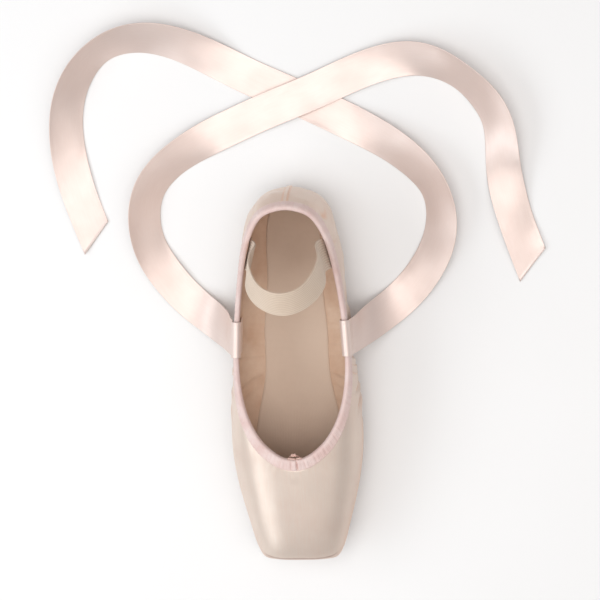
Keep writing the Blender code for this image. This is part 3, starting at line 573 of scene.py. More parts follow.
def loft(name, rings, finish, along=None, cap=True, values=None):
    """A closed tube through rings of points, rows of one array. Its ends are closed by shrinking a last ring
    to its middle. UV is the length along and the length round, in metres."""
    rings = np.asarray(rings, float)
    if cap:
        first, last = rings[:1].mean(axis=1, keepdims=True), rings[-1:].mean(axis=1, keepdims=True)
        width = rings.shape[1]
        rings = np.concatenate([np.repeat(first, width, 1), rings, np.repeat(last, width, 1)])
        if values is not None:
            values = {k: np.concatenate([v[:1], v, v[-1:]]) for k, v in values.items()}
    count, width = rings.shape[:2]
    middle = rings.mean(axis=1)
    if along is None:
        along = chord_lengths(middle)
    elif cap:
        along = np.concatenate([along[:1], along, along[-1:]])
    typical = rings[count // 2]
    round_it = chord_lengths(np.vstack([typical, typical[:1]]))
    faces, corners = grid_faces(count, width, close_columns=True)
    uv = np.stack([along[corners[..., 0]], round_it[corners[..., 1]]], axis=-1) * MM
    piece = make_piece(name, rings.reshape(-1, 3), faces, [finish], uv, values=values)
    weld(piece)
    return piece


# Finishes

# Scales of the woven threads. Blender's wave texture repeats every millimetre at a scale of 314.
FLOAT_SCALE = 2200.0
TWILL_SCALE = 900.0
CANVAS_SCALE = 468.75
TAPE_RIB_SCALE = 330.0
COTTON_SCALE = 420.0
ELASTIC_CROSS_SCALE = 520.0
SEWING_TWIST_SCALE = 1900.0
CORD_TWIST_SCALE = 1300.0


class Finish:
    """A material and its node tree, with a short way to add and join nodes."""

    def __init__(self, name, colour, roughness, **sockets):
        self.material = bpy.data.materials.new(name)
        self.material.use_nodes = True
        self.tree = self.material.node_tree
        self.shader = self.tree.nodes["Principled BSDF"]
        self.set(self.shader, {"Base Color": (*colour, 1.0), "Roughness": roughness})
        self.set(self.shader, {key.replace("_", " "): value for key, value in sockets.items()})

    def set(self, node, values):
        for key, value in values.items():
            if isinstance(value, bpy.types.NodeSocket):
                self.tree.links.new(value, node.inputs[key])
            else:
                node.inputs[key].default_value = value

    def add(self, kind, values=None, **settings):
        node = self.tree.nodes.new(kind)
        for key, value in settings.items():
            setattr(node, key, value)
        self.set(node, values or {})
        return node

    def coordinates(self, kind, scale=(1, 1, 1), turn=0.0):
        """Object or UV coordinates in metres, scaled, and turned by degrees in the plane of x and y."""
        source = self.add("ShaderNodeTexCoord").outputs[kind]
        mapping = self.add("ShaderNodeMapping", {"Vector": source, "Scale": scale})
        mapping.inputs["Rotation"].default_value = (0.0, 0.0, math.radians(turn))
        return mapping.outputs["Vector"]

    def noise(self, vector, scale, detail=3.0, roughness=0.5):
        values = {"Vector": vector, "Scale": scale, "Detail": detail, "Roughness": roughness}
        return self.add("ShaderNodeTexNoise", values).outputs["Fac"]

    def mottle(self, scale, detail=3.0, roughness=0.5):
        return self.noise(self.coordinates("Object"), scale, detail, roughness)

    def plain_weave(self, scale, distortion):
        """Two sets of threads that pass over and under each other: the product of two waves."""
        uv = self.coordinates("UV")
        return self.maths("MULTIPLY", *(self.wave(uv, scale, way, distortion) for way in "XY"))

    def wave(self, vector, scale, direction="X", distortion=0.0, detail_scale=1.0):
        values = {"Vector": vector, "Scale": scale, "Distortion": distortion, "Detail Scale": detail_scale}
        return self.add("ShaderNodeTexWave", values, bands_direction=direction).outputs["Fac"]

    def maths(self, operation, *values):
        node = self.add("ShaderNodeMath", operation=operation)
        for index, value in enumerate(values):
            self.set(node, {index: value})
        return node.outputs[0]

    def fit(self, value, low, high, to_low=0.0, to_high=1.0):
        values = {"Value": value, "From Min": low, "From Max": high, "To Min": to_low, "To Max": to_high}
        return self.add("ShaderNodeMapRange", values).outputs["Result"]

    def mix(self, share, first, second):
        node = self.add("ShaderNodeMix", data_type="RGBA")
        sockets = [s for s in node.inputs if s.type == "RGBA"]
        factor = next(s for s in node.inputs if s.type == "VALUE")
        for socket, value in ((factor, share), (sockets[0], first), (sockets[1], second)):
            if isinstance(value, bpy.types.NodeSocket):
                self.tree.links.new(value, socket)
            elif isinstance(value, tuple) and len(value) == 3:
                socket.default_value = (*value, 1.0)
            else:
                socket.default_value = value
        return next(s for s in node.outputs if s.type == "RGBA")

    def value(self, name):
        return self.add("ShaderNodeAttribute", attribute_name=name).outputs["Fac"]

    def colour(self, socket):
        self.tree.links.new(socket, self.shader.inputs["Base Color"])

    def colour_woven(self, threads, share, tone, shade):
        """The tone, with some share of the shade between the threads."""
        self.colour(self.mix(self.fit(threads, 0.0, 1.0, share, 0.0), tone, shade))

    def rough(self, socket):
        self.tree.links.new(socket, self.shader.inputs["Roughness"])

    def bump(self, *layers):
        """Stacks bumps: each layer is a height, its strength and its depth in millimetres."""
        normal = None
        for height, strength, depth in layers:
            values = {"Height": height, "Strength": strength, "Distance": depth * MM}
            if normal is not None:
                values["Normal"] = normal
            normal = self.add("ShaderNodeBump", values).outputs["Normal"]
        self.tree.links.new(normal, self.shader.inputs["Normal"])


def satin_finish(name, pale, deep, rose, by_crease=True):
    """Satin: long floats of thread give a drawn-out sheen along U, with faint slubs and painted peach shade
    in creases.
    """
    satin = Finish(
        name, pale, 0.38, Metallic=0.42, Specular_IOR_Level=0.8, Sheen_Weight=0.22, Sheen_Roughness=0.35,
        Anisotropic=0.4, Coat_Weight=0.22, Coat_Roughness=0.42, Coat_IOR=1.5,
    )
    satin.shader.inputs["Sheen Tint"].default_value = (*SHEEN_TINT, 1.0)
    threads_run = satin.add("ShaderNodeTangent", direction_type="UV_MAP", uv_map="UVMap")
    satin.set(satin.shader, {"Tangent": threads_run.outputs["Tangent"]})
    slubs = satin.noise(satin.coordinates("UV", (90.0, 1100.0, 1.0)), 1.0, 4.0, 0.6)
    cloud = satin.mottle(38.0, 3.0, 0.55)
    colour = satin.mix(satin.fit(cloud, 0.35, 0.7, 0.0, 0.30), pale, rose)
    colour = satin.mix(satin.fit(slubs, 0.35, 0.75, 0.0, 0.14), colour, deep)
    if by_crease:
        # Painted shade: peach in the crease troughs, at the foot of the seams, and a warm sheen low on the
        # box's sides
        colour = satin.mix(satin.value("trough"), colour, deep)
        # A rose tone on the platform's face and low on the front of the box
        colour = satin.mix(satin.value("rose_toning"), colour, rose)
        # Painted shade along the fold at the platform's edge
        colour = satin.mix(satin.value("line"), colour, SATIN_FOLD_SHADE)
    satin.colour(colour)
    by_slub, by_cloud = satin.fit(slubs, 0.2, 0.8, 0.36, 0.45), satin.fit(cloud, 0.3, 0.7, -0.03, 0.04)
    satin.rough(satin.maths("ADD", by_slub, by_cloud))
    floats = satin.wave(satin.coordinates("UV"), FLOAT_SCALE, "Y", 0.4)
    twill = satin.wave(satin.coordinates("UV"), TWILL_SCALE, "DIAGONAL", 0.6)
    satin.bump((floats, 0.10, 0.05), (twill, 0.06, 0.05), (slubs, 0.22, 0.08), (cloud, 0.25, 0.35))
    return satin.material


def canvas_finish(name, colour, shade):
    """Plain weave: two sets of threads that pass over and under each other."""
    cloth = Finish(name, colour, 0.88, Specular_IOR_Level=0.25, Sheen_Weight=0.15, Sheen_Roughness=0.6)
    weave = cloth.plain_weave(CANVAS_SCALE, 0.5)
    mottle = cloth.mottle(60.0, 4.0, 0.6)
    tone = cloth.mix(cloth.fit(mottle, 0.35, 0.7), colour, shade)
    cloth.colour_woven(weave, 0.25, tone, shade)
    cloth.bump((weave, 0.45, 0.18), (mottle, 0.3, 0.4))
    return cloth.material


def tape_finish():
    """Binding tape: fine ribs across its width, gathered by the drawstring."""
    tape = Finish(
        "binding_tape_weave", TAPE_PINK, 0.62, Specular_IOR_Level=0.35, Sheen_Weight=0.3, Sheen_Roughness=0.5,
    )
    uv = tape.coordinates("UV")
    ribs = tape.wave(uv, TAPE_RIB_SCALE, "X", 0.8, 2.0)
    threads = tape.noise(tape.coordinates("UV", (700.0, 2400.0, 1.0)), 1.0, 3.0, 0.6)
    mottle = tape.mottle(85.0, 3.0, 0.6)
    tone = tape.mix(tape.fit(mottle, 0.35, 0.7, 0.0, 0.7), TAPE_PINK, TAPE_SHADE)
    # Painted shade in the gathers' hollows and at the tape's lower edge, and a darker line inside its top
    tone = tape.mix(tape.value("gather_shade_and_line"), tone, TAPE_SHADE)
    tape.colour_woven(ribs, 0.2, tone, TAPE_SHADE)
    tape.bump((ribs, 0.35, 0.16), (threads, 0.3, 0.08), (mottle, 0.3, 0.25))
    return tape.material


def leather_finish():
    """Outsole leather: buffed tan, darker in its ribs, scuffed on top of them, with a pale painted edge."""
    leather = Finish("sole_leather_buffed", SOLE_TAN, 0.62, Specular_IOR_Level=0.4)
    where = leather.coordinates("Object")
    grain = leather.noise(where, 1500.0, 4.0, 0.65)
    mottle = leather.noise(where, 45.0, 4.0, 0.6)
    streaks = leather.noise(leather.coordinates("Object", (35.0, 420.0, 35.0), 8.0), 1.0, 3.0, 0.7)
    tone = leather.mix(leather.fit(mottle, 0.35, 0.7), SOLE_TAN, LEATHER_MOTTLE)
    tone = leather.mix(leather.value("groove"), tone, SOLE_DARK)
    scuff = leather.maths("MULTIPLY", leather.fit(streaks, 0.56, 0.72), leather.value("contact"))
    tone = leather.mix(leather.maths("MULTIPLY", scuff, 0.45), tone, LEATHER_SCUFF)
    leather.colour(leather.mix(leather.value("edge"), tone, SOLE_EDGE))
    leather.rough(leather.fit(grain, 0.3, 0.7, 0.52, 0.74))
    leather.bump((grain, 0.35, 0.10), (mottle, 0.3, 0.3), (streaks, 0.12, 0.10))
    return leather.material


def insole_finish():
    """Cotton sock lining over board, pressed and a little darkened where a foot has stood."""
    cloth = Finish(
        "insole_cotton", INSOLE_COLOUR, 0.86, Specular_IOR_Level=0.25, Sheen_Weight=0.12, Sheen_Roughness=0.6,
    )
    weave = cloth.plain_weave(COTTON_SCALE, 0.4)
    mottle = cloth.mottle(55.0, 5.0, 0.65)
    worn = cloth.maths("MULTIPLY", cloth.value("worn"), cloth.fit(mottle, 0.2, 0.65, 0.45, 1.0))
    tone = cloth.mix(cloth.maths("MULTIPLY", worn, 0.6), INSOLE_COLOUR, INSOLE_WORN)
    cloth.colour_woven(weave, 0.22, tone, INSOLE_WORN)
    cloth.bump((weave, 0.4, 0.15), (mottle, 0.35, 0.35))
    return cloth.material


def elastic_finish():
    """Woven elastic: knitted cords along it, crossed by fine threads."""
    band = Finish(
        "elastic_rib", ELASTIC_COLOUR, 0.74, Specular_IOR_Level=0.3, Sheen_Weight=0.2, Sheen_Roughness=0.5,
    )
    cross = band.wave(band.coordinates("UV"), ELASTIC_CROSS_SCALE, "X", 0.6)
    fuzz = band.mottle(900.0, 3.0, 0.6)
    mottle = band.mottle(70.0, 3.0, 0.6)
    tone = band.mix(band.fit(mottle, 0.3, 0.75, 0.0, 0.5), ELASTIC_COLOUR, ELASTIC_MOTTLE)
    tone = band.mix(band.value("rib"), ELASTIC_SHADE, tone)
    band.colour_woven(cross, 0.18, tone, ELASTIC_SHADE)
    band.bump((cross, 0.5, 0.14), (fuzz, 0.2, 0.06))
    return band.material


def thread_finish(name, colour, twist):
    """Twisted thread or cord: slanting strands."""
    thread = Finish(name, colour, 0.6, Specular_IOR_Level=0.4, Sheen_Weight=0.25, Sheen_Roughness=0.5)
    strands = thread.wave(thread.coordinates("Object"), twist, "DIAGONAL", 0.4)
    shade = tuple(0.72 * c for c in colour)
    thread.colour_woven(strands, 0.4, colour, shade)
    thread.bump((strands, 0.5, 0.12))
    return thread.material


def floor_finish():
    """Pale matt floor with a barely visible mottle."""
    floor = Finish("pale_floor", FLOOR_COLOUR, 0.55, Specular_IOR_Level=0.35)
    mottle = floor.mottle(6.0, 4.0, 0.6)
    floor.colour(floor.mix(floor.fit(mottle, 0.3, 0.7, 0.0, 0.5), FLOOR_COLOUR, FLOOR_MOTTLE))
    return floor.material


SATIN = satin_finish("upper_satin", SATIN_PALE, SATIN_DEEP_AND_SHADE, SATIN_ROSE)
RIBBON_SATIN = satin_finish("ribbon_satin_weave", RIBBON_COLOUR, RIBBON_DEEP, RIBBON_ROSE, by_crease=False)
LINING = canvas_finish("lining_canvas", LINING_COLOUR, LINING_SHADE)
TAPE = tape_finish()
LEATHER = leather_finish()
INSOLE_CLOTH = insole_finish()
ELASTIC = elastic_finish()
STITCH = thread_finish("stitch_thread", STITCH_COLOUR, SEWING_TWIST_SCALE)
CORD = thread_finish("drawstring_cotton", CORD_COLOUR, CORD_TWIST_SCALE)


# The upper: how many places round it, and how many rows of points below and above its widest line
PLACES_ROUND = 500
LOWER_ROWS = 36
UPPER_ROWS = 74
# The lining follows the satin's troughs by this share
LINING_FOLLOWS = 0.6
# Painted peach shade in the troughs: how far below the last it starts, its share for each millimetre and at
# most
TROUGH_SHADE_START = 0.34
TROUGH_SHADE_SHARE = 0.85
# A painted warm sheen in a band low on the sides of the box: level, spread and share
BOX_SIDE_SHEEN = (0.43, 0.085, 0.5)


def places_round(count):
    """Places round the outline, closer together where the folds are and where a seam steps up."""
    fine = np.linspace(0.0, OUTLINE_LENGTH, 4000)
    x = last_surface(fine, LOWER_SHARE)[:, 0]
    density = 1.0 + 1.2 * smooth_step(66.0, 80.0, x) * (1 - smooth_step(140.0, 156.0, x))
    passed = running_sum((density[1:] + density[:-1]) / 2)
    places = np.interp(np.arange(count) * passed[-1] / count, passed, fine)
    for centre, half_width, _ in SEAMS:
        places = places[np.abs(distance_round(places, centre)) > half_width + 1.6 * SEAM_RAMP]
        steps = half_width + SEAM_RAMP * np.array([-0.5, 0.0, 0.3, 0.6, 1.0, 1.5])
        middle = np.array([-0.6, -0.3, 0.0, 0.3, 0.6])
        places = np.concatenate([places, centre - steps, centre + middle, centre + steps])
    return np.sort(places % OUTLINE_LENGTH)


def make_upper():
    """The satin outside and canvas inside of the upper: two sheets a wall apart, joined at both rims."""
    at = places_round(PLACES_ROUND)
    under_tape = levels_below_collar(at, [BINDING_WIDTH - 1.6])[:, 0]
    lower = LOWER_SHARE * np.linspace(0.0, 1.0, LOWER_ROWS)
    share = np.linspace(0.0, 1.0, UPPER_ROWS)[1:]
    level = np.concatenate([
        np.repeat(lower[:, None], len(at), axis=1),
        LOWER_SHARE + share[:, None] * (under_tape - LOWER_SHARE)[None, :],
    ])
    around = np.broadcast_to(at, level.shape)
    base = last_surface(around, level)
    normal = outward_normal(around, level)
    depth, creased = satin_depth(around, level, base)
    outside = base + normal * depth[..., None]
    inside = base - normal * (wall(base[..., 0]) - LINING_FOLLOWS * np.minimum(creased, 0.0))[..., None]
    inside = inside[::-2]
    rings = np.concatenate([outside, inside])
    faces, corners = grid_faces(len(rings), len(at), close_rows=True, close_columns=True)
    along = np.append(at, OUTLINE_LENGTH)[corners[..., 1]]
    side = np.where(along.mean(axis=1) < TOE_AT, 1.0, -1.0)[:, None]
    satin_uv = thread_lines(rings.reshape(-1, 3)[faces], along, side)
    inner = (corners[:, 0, 0] >= len(outside) - 1).astype(np.int32)
    uv = np.where(inner[:, None, None] > 0, sheet_uv(rings, along, corners), satin_uv)
    # Painted peach shade, deeper the further the satin sinks into a crease
    trough = np.clip(-TROUGH_SHADE_SHARE * (creased + TROUGH_SHADE_START), 0.0, TROUGH_SHADE_SHARE)
    # A painted warm sheen in a band low on the box's sides, carried in the trough value
    band_level, band_spread, band_share = BOX_SIDE_SHEEN
    box_side_sheen = bump_at(level, band_level, band_spread) * smooth_step(120.0, 160.0, base[..., 0])
    trough = np.maximum(trough, band_share * box_side_sheen)
    # Painted shade at the foot of each seam's raised step, stronger where the step is taller
    for centre, half_width, height in SEAMS:
        beside = bump_at(np.abs(distance_round(around, centre)), half_width + SEAM_RAMP, 0.4)
        trough = np.maximum(trough, height * beside * smooth_step(*SEAM_FADE, level))
    from_toe = distance_round(around, TOE_AT)
    toe = bump_at(from_toe, 0.0, 30.0)
    _, end_up, _, middle_up, end_at = TOE_CREASES[0][:5]
    line_level = middle_up + (end_up - middle_up) * (from_toe / end_at) ** 2
    # Painted shade along the fold at the top edge of the platform
    line = 0.7 * bump_at(level, line_level, 0.010) * (1 - smooth_step(19.0, 26.0, np.abs(from_toe)))
    # A rose tone on the platform's face below that line and low on the front of the box
    band = smooth_step(0.30, 0.42, level) * (1 - smooth_step(-0.01, 0.004, level - line_level)) * toe
    under = (1 - smooth_step(0.10, 0.36, level)) * smooth_step(150.0, 205.0, base[..., 0])
    rose_toning = np.clip(0.45 * band + 0.35 * under, 0.0, 0.8)
    pad = np.zeros((len(inside), len(at)))
    values = {
        key: np.concatenate([value, pad])
        for key, value in (("trough", trough), ("rose_toning", rose_toning), ("line", line))
    }
    piece = make_piece("satin_upper", rings.reshape(-1, 3), faces, [SATIN, LINING], uv, inner, values)
    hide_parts("upper")


# The binding: distance below the collar, then how far its face stands off the wall
TAPE_PROFILE = (
    (7.0, 0.02), (6.93, 0.30), (6.7, 0.50), (6.2, 0.60), (5.4, 0.60), (4.6, 0.62), (3.8, 0.70),
    (3.0, 0.80), (2.3, 0.84), (1.6, 0.78), (1.0, 0.62), (0.5, 0.36), (0.18, 0.05),
)
TAPE_PLACES = 760
# At the throat its places are closer, this far to each side
THROAT_REACH = 62.0
THROAT_PLACES = 181
# The slit where the tape parts: y, width and depth, then how far its lips lie to each side, width and height
SLIT = (1.6, 0.42, 0.95)
SLIT_LIPS = (1.1, 0.6, 0.32)
PUCKER_HEIGHT = 0.105


def make_binding():
    """A folded tape: its section is carried round the collar, up the outside, over and down the inside. It is
    gathered by the drawstring, most of all at the throat, where it parts in a narrow slit."""
    at = np.arange(TAPE_PLACES) * OUTLINE_LENGTH / TAPE_PLACES
    share = np.linspace(-1, 1, THROAT_PLACES)
    throat_at = TOE_AT + np.sign(share) * np.abs(share) ** 1.6 * THROAT_REACH
    at = np.sort(np.concatenate([at[np.abs(at - TOE_AT) > THROAT_REACH + 0.2], throat_at]))
    down, stand = np.array(TAPE_PROFILE).T
    level = levels_below_collar(at, down).T
    around = np.broadcast_to(at, level.shape)
    face = last_surface(around, level)
    normal = outward_normal(around, level)
    collar = last_surface(at, 1.0)
    along = chord_lengths(collar)
    total = along[-1] + np.linalg.norm(collar[0] - collar[-1])
    side = collar[:, 1]
    drawn = 0.7 + 0.8 * bump_at(side, 0.0, 16.0) * (collar[:, 0] > 120.0)
    drawn = drawn * (1.0 + 0.6 * wobble(collar, 16.0, 8))
    ripple = (
        np.sin(2 * math.pi * along / 3.3 + 1.6 * np.sin(along / 8.0))
        + 0.7 * np.sin(2 * math.pi * along / 2.1 + 2.1 * np.sin(along / 5.0))
    )
    body = np.sin(np.clip(down / BINDING_WIDTH, 0, 1) * math.pi) ** 0.7
    pucker = PUCKER_HEIGHT * drawn[None, :] * ripple[None, :] * body[:, None]
    slit_y, slit_width, slit_depth = SLIT
    lip_away, lip_width, lip_height = SLIT_LIPS
    slit = -slit_depth * bump_at(side, slit_y, slit_width)[None, :] * (collar[:, 0] > 150.0) * body[:, None]
    lips = bump_at(side, slit_y - lip_away, lip_width) + bump_at(side, slit_y + lip_away, lip_width)
    lips = lip_height * lips[None, :] * (collar[:, 0] > 150.0)
    outer = face + normal * (stand[:, None] + pucker + slit + lips * body[:, None])[..., None]
    depth = wall(face[..., 0])
    inner = face - normal * (depth + stand[:, None] + 0.6 * pucker)[..., None]
    crown_normal = outward_normal(at, 1.0)
    shares = np.array([0.2, 0.5, 0.8])[:, None, None]
    crown = collar[None] - crown_normal[None] * wall(collar[:, 0])[None, :, None] * shares
    rings = np.concatenate([outer, crown, inner[::-1]])
    faces, corners = grid_faces(len(rings), len(at), close_rows=True, close_columns=True)
    uv = sheet_uv(rings, np.append(along, total)[corners[..., 1]], corners)
    # Painted shade in pucker hollows, the slit and the crevice at the tape's lower edge; a darker line inside
    # its top
    hollow_shade = np.clip(-1.6 * pucker - 1.1 * slit, 0.0, 0.85)
    edge = bump_at(down, BINDING_WIDTH, 0.5)[:, None] * 0.5
    inner_line = 0.75 * bump_at(down, 0.6, 0.5)[:, None]
    gather_shade_and_line = np.concatenate([hollow_shade + edge, np.zeros((3, len(at))), (0.5 * hollow_shade + edge + inner_line)[::-1]])
    piece = make_piece(
        "collar_tape", rings.reshape(-1, 3), faces, [TAPE], uv, values={"gather_shade_and_line": np.clip(gather_shade_and_line, 0, 0.9)},
    )
    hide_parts("collar_binding")


# Stitches: each is a small grain of thread. Pitch of a row, then length, width and height of a stitch
SEAM_STITCH = (2.15, 1.25, 0.34, 0.26)
TAPE_STITCH = (2.4, 1.35, 0.32, 0.3)
STRAP_STITCH = (2.3, 1.6, 0.36, 0.3)


def grain(length, width, height):
    """One stitch as an ellipsoid on a grid of eight points round and five along, with closed ends."""
    turn = np.arange(8) * math.pi / 4
    lean = np.linspace(-math.pi / 2, math.pi / 2, 6)
    ring = np.stack([
        np.repeat(np.sin(lean)[:, None], 8, 1) * length / 2,
        np.cos(lean)[:, None] * np.cos(turn)[None] * width / 2,
        np.cos(lean)[:, None] * np.sin(turn)[None] * height / 2,
    ], axis=-1)
    faces, _ = grid_faces(6, 8, close_columns=True)
    return ring.reshape(-1, 3), faces


def make_stitches(name, rows, slot, length, width, height):
    """Rows of stitches joined in one mesh. Each row is centres, directions and normals. A stitch is copied to
    each centre, turned to lie along its direction."""
    shape, faces = grain(length, width, height)
    centres = np.concatenate([row[0] for row in rows])
    along = unit(np.concatenate([row[1] for row in rows]))
    normal = np.concatenate([row[2] for row in rows])
    normal = unit(normal - along * (normal * along).sum(-1, keepdims=True))
    across = np.cross(normal, along)
    points = (
        centres[:, None] + shape[None, :, :1] * along[:, None]
        + shape[None, :, 1:2] * across[:, None] + shape[None, :, 2:] * normal[:, None]
    )
    offsets = (np.arange(len(centres)) * len(shape))[:, None, None]
    all_faces = (faces[None] + offsets).reshape(-1, 4)
    piece = make_piece(name, points.reshape(-1, 3), all_faces, [STITCH])
    weld(piece)


def even_row(points, normals, pitch):
    """Centres, directions and normals every pitch along a line of points."""
    along = chord_lengths(points)
    stations = np.arange(pitch / 2, along[-1] - pitch / 4, pitch)
    ahead = along_line(stations + 0.2, along, points) - along_line(stations - 0.2, along, points)
    return along_line(stations, along, points), ahead, along_line(stations, along, normals)


def make_seam_stitches():
    """Two rows down each side seam, and one along the lower edge of the binding, all on the satin's face."""
    rows = []
    up = np.linspace(0.17, 0.97, 130)
    for centre, _, _ in SEAMS[1:]:
        for edge in (-1, 1):
            at = np.full_like(up, centre + edge * SEAM_STITCH_AT)
            top = levels_below_collar(at[:1], [BINDING_WIDTH + 0.3])[0, 0]
            level = up * top
            rows.append(even_row(satin_surface(at, level), outward_normal(at, level), SEAM_STITCH[0]))
    make_stitches("side_seam_stitches", rows, "satin", *SEAM_STITCH[1:])

    at = np.linspace(0.0, OUTLINE_LENGTH, 700)
    level = levels_below_collar(at, [BINDING_WIDTH - 0.75])[:, 0]
    face = last_surface(at, level) + outward_normal(at, level) * 0.58
    rows = [even_row(face, outward_normal(at, level), TAPE_STITCH[0])]
    make_stitches("binding_stitches", rows, "binding_tape", *TAPE_STITCH[1:])


# The outsole
RIB_PITCH = 2.75
RIB_COUNT = 25
RIB_START_X = 134.0
RIB_DEPTH = 0.55
RIB_BORDER = 2.2
PLATE_X = (159.0, 184.0)
PLATE_HALF_WIDTH = 5.2
WAIST_RIB_X = (101.0, 121.0)
WAIST_RIB_PITCH = 1.9
WAIST_RIB_DEPTH = 0.16
BORDER_LINE = (2.9, 0.38, 0.22)


def eased(length, count):
    """Steps from nought to a length that start small and grow, as one less a cosine does."""
    return length * (1 - np.cos(np.linspace(0.0, math.pi / 2, count)))


def sole_half_width(x):
    """Half the outsole's width at x, from the sections' sole edge."""
    edge = spline(KNOTS, TABLE[:, :2], np.linspace(0.0, TOE_AT, 2400), closed=True)
    return np.interp(x, edge[:, 0], np.maximum(edge[:, 1], 0.0))


def edge_distance(x, y):
    """Distance in plan from each point to the outsole's outline."""
    edge = spline(KNOTS, TABLE[:, :2], np.linspace(0.0, TOE_AT, 700), closed=True)
    away = np.full(x.shape, 1e9)
    for start in range(0, len(edge), 100):
        part = edge[start:start + 100]
        gap = np.hypot(x[..., None] - part[:, 0], np.abs(y)[..., None] - part[:, 1]).min(-1)
        away = np.minimum(away, gap)
    return away


def tread_relief(x, y):
    """How far the tread is cut in at each point: rounded ribs under the ball round a bare plate, fine lines
    across the waist, and a pressed line that runs inside the edge. Also how much is groove."""
    inside = edge_distance(x, y)
    ribs_end = RIB_START_X + RIB_COUNT * RIB_PITCH
    wave = 0.5 - 0.5 * np.cos(2 * math.pi * (x - RIB_START_X - 0.06 * np.abs(y)) / RIB_PITCH)
    sunk = smooth_step(0.52, 0.95, wave)
    zone = smooth_step(RIB_START_X - 0.3, RIB_START_X + 0.3, x)
    zone = zone * (1 - smooth_step(ribs_end - 0.8, ribs_end, x))
    zone = zone * smooth_step(RIB_BORDER, RIB_BORDER + 0.9, inside)
    plate_x = np.maximum(PLATE_X[0] - x, x - PLATE_X[1])
    off_plate = np.hypot(np.maximum(plate_x, 0), np.maximum(np.abs(y) - PLATE_HALF_WIDTH, 0))
    on_plate = np.maximum(plate_x, np.abs(y) - PLATE_HALF_WIDTH)
    zone = zone * smooth_step(0.5, 1.3, off_plate)
    plate_rim = 0.30 * bump_at(on_plate, -0.1, 0.30) * (np.abs(on_plate) < 1.5)
    waist_start, waist_end = WAIST_RIB_X
    waist_zone = smooth_step(waist_start, waist_start + 2, x) * (1 - smooth_step(waist_end - 2, waist_end, x))
    waist_zone = waist_zone * smooth_step(3.6, 4.6, inside)
    bent = x + 0.5 * np.sin(y / 3.1) + 0.35 * np.sin(y / 1.7 + x / 5.0)
    waist = 0.5 - 0.5 * np.cos(2 * math.pi * bent / WAIST_RIB_PITCH)
    line_in, line_width, line_depth = BORDER_LINE
    heel_line = bump_at(inside, line_in, line_width) * (1 - smooth_step(122.0, 132.0, x))
    cut = (
        RIB_DEPTH * sunk * zone + plate_rim + WAIST_RIB_DEPTH * smooth_step(0.4, 0.9, waist) * waist_zone
        + line_depth * heel_line
    )
    groove = 0.95 * sunk * zone + 1.6 * plate_rim + 0.5 * waist * waist_zone + 0.55 * heel_line
    return cut, np.clip(groove, 0, 0.95)


def make_outsole():
    """Cross sections carried along the sole: tread from edge to edge with its relief, rounded edges, sides
    and a flat top. The ends narrow to a closed line."""
    heel, tip = TABLE[0, 0] + 0.05, TABLE[len(SECTIONS) - 1, 0] - 0.05
    x = np.concatenate([
        heel + eased(12.0, 26), np.arange(heel + 12.8, RIB_START_X - 1.2, 0.9),
        np.arange(RIB_START_X - 0.9, tip - 9.0, RIB_PITCH / 10), tip - eased(8.6, 26)[::-1],
    ])
    half = sole_half_width(x)
    half[[0, -1]] = 0.0
    round_edge = np.minimum(0.65, half * 0.3)
    share = np.linspace(-1.0, 1.0, 67)
    flat = half - round_edge
    y = flat[:, None] * share[None]
    at_x = np.repeat(x[:, None], len(share), axis=1)
    cut, groove = tread_relief(at_x, y)
    bottom = np.stack([at_x, y, sole_bottom(at_x) + cut * (half > 0.4)[:, None]], axis=-1)
    turn = np.radians([22.0, 45.0, 68.0, 90.0])[None]
    low, top = sole_bottom(x)[:, None], sole_top(x)[:, None]
    side_y = flat[:, None] + round_edge[:, None] * np.sin(turn)
    side_z = low + round_edge[:, None] * (1 - np.cos(turn))
    wall_z = low + (top - low) * np.array([[0.5, 0.8]])
    side_y = np.hstack([side_y, half[:, None], half[:, None], half[:, None] - 0.1 * (half > 1)[:, None]])
    side_z = np.hstack([side_z, wall_z, top])
    side_x = np.repeat(x[:, None], side_y.shape[1], axis=1)
    right = np.stack([side_x, side_y, side_z], axis=-1)
    left = (right * (1, -1, 1))[:, ::-1]
    rings = np.concatenate([bottom, right, left], axis=1)
    none = np.zeros(side_y.shape)
    edge = np.hstack([none[:, :2], np.full((len(x), side_y.shape[1] - 2), 0.9)])
    contact = np.hstack([1.0 - groove, none, none])
    values = {
        "groove": np.hstack([groove, none, none]),
        "edge": np.hstack([np.zeros(groove.shape), edge, edge[:, ::-1]]),
        "contact": contact * (sole_bottom(rings[..., 0]) < 0.6),
    }
    piece = loft("leather_outsole", rings, LEATHER, along=x, cap=False, values=values)
    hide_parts("outsole")


# The insole
INSOLE_THICKNESS = 1.6
INSOLE_CLEARANCE = 1.5
INSOLE_SWELL = 0.1
# Where a foot has darkened it: strength, then middle and spread in x and in y
INSOLE_PRINTS = ((1.0, 32.0, 22.0, 0.0, 17.0), (1.0, 162.0, 34.0, 0.0, 22.0), (0.45, 95.0, 46.0, -6.0, 12.0))


